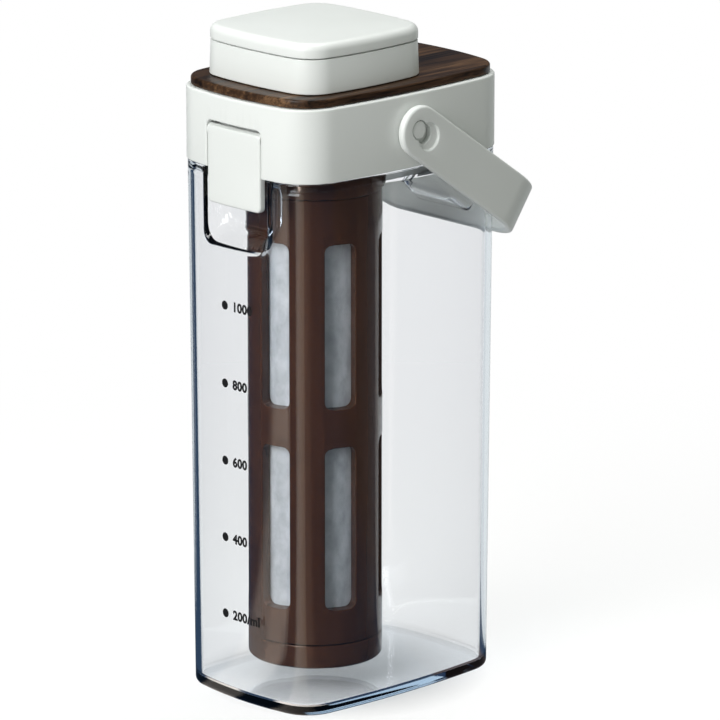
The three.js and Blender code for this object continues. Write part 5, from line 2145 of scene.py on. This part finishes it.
@dataclass
class Studio:
    """The camera, the pale floor, the soft lamps and the white surroundings.

    Angles are in degrees, and azimuths run from the front towards the right.
    """

    azimuth: float = 46.67
    elevation: float = 15.19
    distance: float = 2.2195
    target: Triple = (0.004781, 0.005068, 0.122)
    lens: float = 297.68
    sensor: float = 36.0
    clip: tuple[float, float] = (0.1, 50.0)
    floor_half: float = 8.0
    floor_colour: Colour = (0.35, 0.35, 0.35)
    floor_gap: float = 0.0003
    lift: float = 0.66
    lift_reach: tuple[float, float] = (0.12, 0.45)
    # painted shadow: close to the maker the floor's glow drops to this lower level, rising back over
    # these distances, so the floor reads darker under it
    painted_shadow_lift: float = 0.12
    painted_shadow_reach: tuple[float, float] = (0.016, 0.056)
    ambient: Colour = (0.305, 0.322, 0.294)
    mirrored: Colour = (0.03, 0.055, 0.1)
    ceiling: Colour = (0.07, 0.085, 0.11)
    cards: tuple[Card, ...] = (
        Card(-25, -6, (0.74, 0.68, 0.63), (0.92, 0.85, 0.79)),
        Card(19, 38, (1.0, 0.92, 0.85), (0.42, 0.37, 0.33)),
        Card(118, 150, (0.08, 0.06, 0.06), (0.14, 0.12, 0.13)),
        Card(166, 252, (0.72, 0.76, 0.78), (0.82, 0.86, 0.87)),
    )
    card_fade: float = 3.0
    card_top: tuple[float, float] = (0.45, 0.65)
    lamps: tuple[Lamp, ...] = (
        Lamp("key", 7.7, 30.0, 1.3, (0.7, 0.9), 14.8),
        Lamp("top", 200.0, 75.0, 1.5, (1.0, 1.0), 11.7),
    )

    def build(self) -> None:
        """Sets the camera, the floor, the world and the lamps."""
        self.set_camera()
        self.set_floor()
        self.set_world()
        for lamp in self.lamps:
            self.hang(lamp)

    def aim(self, name: str, data: bpy.types.ID, stand: Triple) -> Piece:
        """Puts a camera or a lamp round the maker and turns it towards it.

        Args:
            name: The new object's name.
            data: What it carries, a camera's or a lamp's data.
            stand: Its azimuth and elevation in degrees, and its distance.

        Returns:
            The new object.
        """
        azimuth, elevation = (math.radians(angle) for angle in stand[:2])
        level = math.cos(elevation)
        back = Vector((math.sin(azimuth) * level, -math.cos(azimuth) * level, math.sin(elevation)))
        item = bpy.data.objects.new(name, data)
        bpy.context.scene.collection.objects.link(item)
        item.location = Vector(self.target) + back * stand[2]
        item.rotation_euler = (-back).to_track_quat("-Z", "Y").to_euler()
        return item

    def set_camera(self) -> None:
        """Places the camera at the photograph's angle."""
        data = bpy.data.cameras.new("camera")
        data.lens = self.lens
        data.sensor_width = self.sensor
        data.clip_start, data.clip_end = self.clip
        stand = (self.azimuth, self.elevation, self.distance)
        bpy.context.scene.camera = self.aim("camera", data, stand)

    def hang(self, lamp: Lamp) -> None:
        """Hangs a lamp.

        Args:
            lamp: The lamp.
        """
        data = bpy.data.lights.new(lamp.name, "AREA")
        data.shape = "RECTANGLE"
        data.size, data.size_y = lamp.size
        data.energy = lamp.power
        item = self.aim(lamp.name, data, (lamp.azimuth, lamp.elevation, lamp.distance))
        item.visible_camera = False

    def seen_rays(self, nodes: Nodes) -> tuple[Socket, Socket]:
        """Builds the tests for rays that show the surroundings.

        Args:
            nodes: The builder of the tree.

        Returns:
            Whether a ray shows what it meets, and whether it does so and was mirrored on its way.
        """
        path = nodes.add("ShaderNodeLightPath").outputs
        through = nodes.math("MAXIMUM", path["Is Glossy Ray"], path["Is Transmission Ray"])
        undimmed = nodes.math("LESS_THAN", path["Diffuse Depth"], NO_BOUNCE)
        seen = nodes.math("MAXIMUM", path["Is Camera Ray"], nodes.math("MULTIPLY", through, undimmed))
        bounced = nodes.math("GREATER_THAN", path["Glossy Depth"], NO_BOUNCE)
        return seen, nodes.math("MULTIPLY", seen, bounced)

    def dark_room(self, nodes: Nodes, place: Socket) -> Socket:
        """The dark surroundings with pale cards in them, as gloss and glass edges mirror them.

        Args:
            nodes: The builder of the tree.
            place: The coordinate or direction from the maker.

        Returns:
            The colour that is mirrored.
        """
        round_about = nodes.add("ShaderNodeTexGradient", {"Vector": place}, gradient_type="RADIAL")
        stops: list[tuple[float, Colour]] = []
        quarter, whole = 90, 360
        for card in self.cards:
            before, after = card.start - self.card_fade, card.end + self.card_fade
            angles = (before, card.start, card.end, after)
            paints = (self.mirrored, card.first, card.last, self.mirrored)
            stops += [((angle - quarter) / whole + 0.5, paint) for angle, paint in zip(angles, paints)]
        return nodes.ramp(round_about.outputs["Fac"], stops)

    def set_floor(self) -> None:
        """Lays the pale floor, which stays white to the eye and keeps the maker's shadow, and whose glow
        is lowered close under the maker as a painted shadow.
        """
        Bench.pick()
        bpy.ops.mesh.primitive_plane_add(size=self.floor_half * 2, location=(0, 0, -self.floor_gap))
        floor = bpy.context.object
        floor.name = "floor"
        nodes = Nodes("pale_floor")
        seen, mirrored = self.seen_rays(nodes)
        place = nodes.add("ShaderNodeTexCoord").outputs["Object"]
        length = nodes.add("ShaderNodeVectorMath", {"Vector": place}, operation="LENGTH")
        away = length.outputs["Value"]
        # painted shadow: the glow is lowered close to the maker, so the floor under it reads darker as if
        # shaded
        lift = nodes.span(away, (self.painted_shadow_lift, self.lift), self.painted_shadow_reach)
        near_floor = nodes.add("ShaderNodeAddShader")
        surface = nodes.add("ShaderNodeBsdfDiffuse", Color=(*self.floor_colour, 1))
        glow = nodes.add("ShaderNodeEmission", {"Strength": nodes.math("MULTIPLY", seen, lift)})
        nodes.link(surface.outputs[0], near_floor.inputs[0])
        nodes.link(glow.outputs[0], near_floor.inputs[1])
        far_share = nodes.math("MULTIPLY", seen, nodes.span(away, (0, 1), self.lift_reach))
        pale = nodes.mix(far_share, near_floor, nodes.add("ShaderNodeEmission"))
        dark = nodes.add("ShaderNodeEmission", {"Color": self.dark_room(nodes, place)})
        nodes.show(nodes.mix(mirrored, pale, dark))
        floor.data.materials.append(nodes.material)

    def set_world(self) -> None:
        """Surrounds the maker with white for the eye and a softer level for its light."""
        nodes = WorldNodes("studio")
        seen, mirrored = self.seen_rays(nodes)
        way = nodes.add("ShaderNodeTexCoord").outputs["Generated"]
        rise = nodes.add("ShaderNodeSeparateXYZ", {"Vector": way}).outputs["Z"]
        above = nodes.span(rise, (0, 1), self.card_top)
        room = nodes.blend(above, self.dark_room(nodes, way), self.ceiling)
        path = nodes.add("ShaderNodeLightPath").outputs
        through_wall = nodes.math("GREATER_THAN", path["Transmission Depth"], NO_BOUNCE)
        shown = nodes.blend(mirrored, WHITE, nodes.blend(through_wall, self.ceiling, room))
        colour = nodes.blend(seen, self.ambient, shown)
        nodes.show(nodes.add("ShaderNodeBackground", {"Color": colour}, Strength=1.0))


def main() -> None:
    """Builds the maker's sub-assemblies in order and sets the studio."""
    logging.basicConfig(level=logging.INFO, format="%(name)s %(message)s")
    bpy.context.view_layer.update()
    bpy.context.scene.view_settings.view_transform = "Standard"
    finishes = Finishes()
    plan = lid_plan()
    cage_low, cage_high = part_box("filter_cage")
    column_y = (cage_low.y + cage_high.y) / 2
    jug = Jug(plan)
    for assembly in (
        jug, ScaleMarks(jug), Lid(plan, column_y), Knob(column_y), Filter(column_y), Latch(plan),
        BailHandle(plan.half_width),
    ):
        assembly.build(finishes)
    Studio().build()


if __name__ == "__main__":
    main()
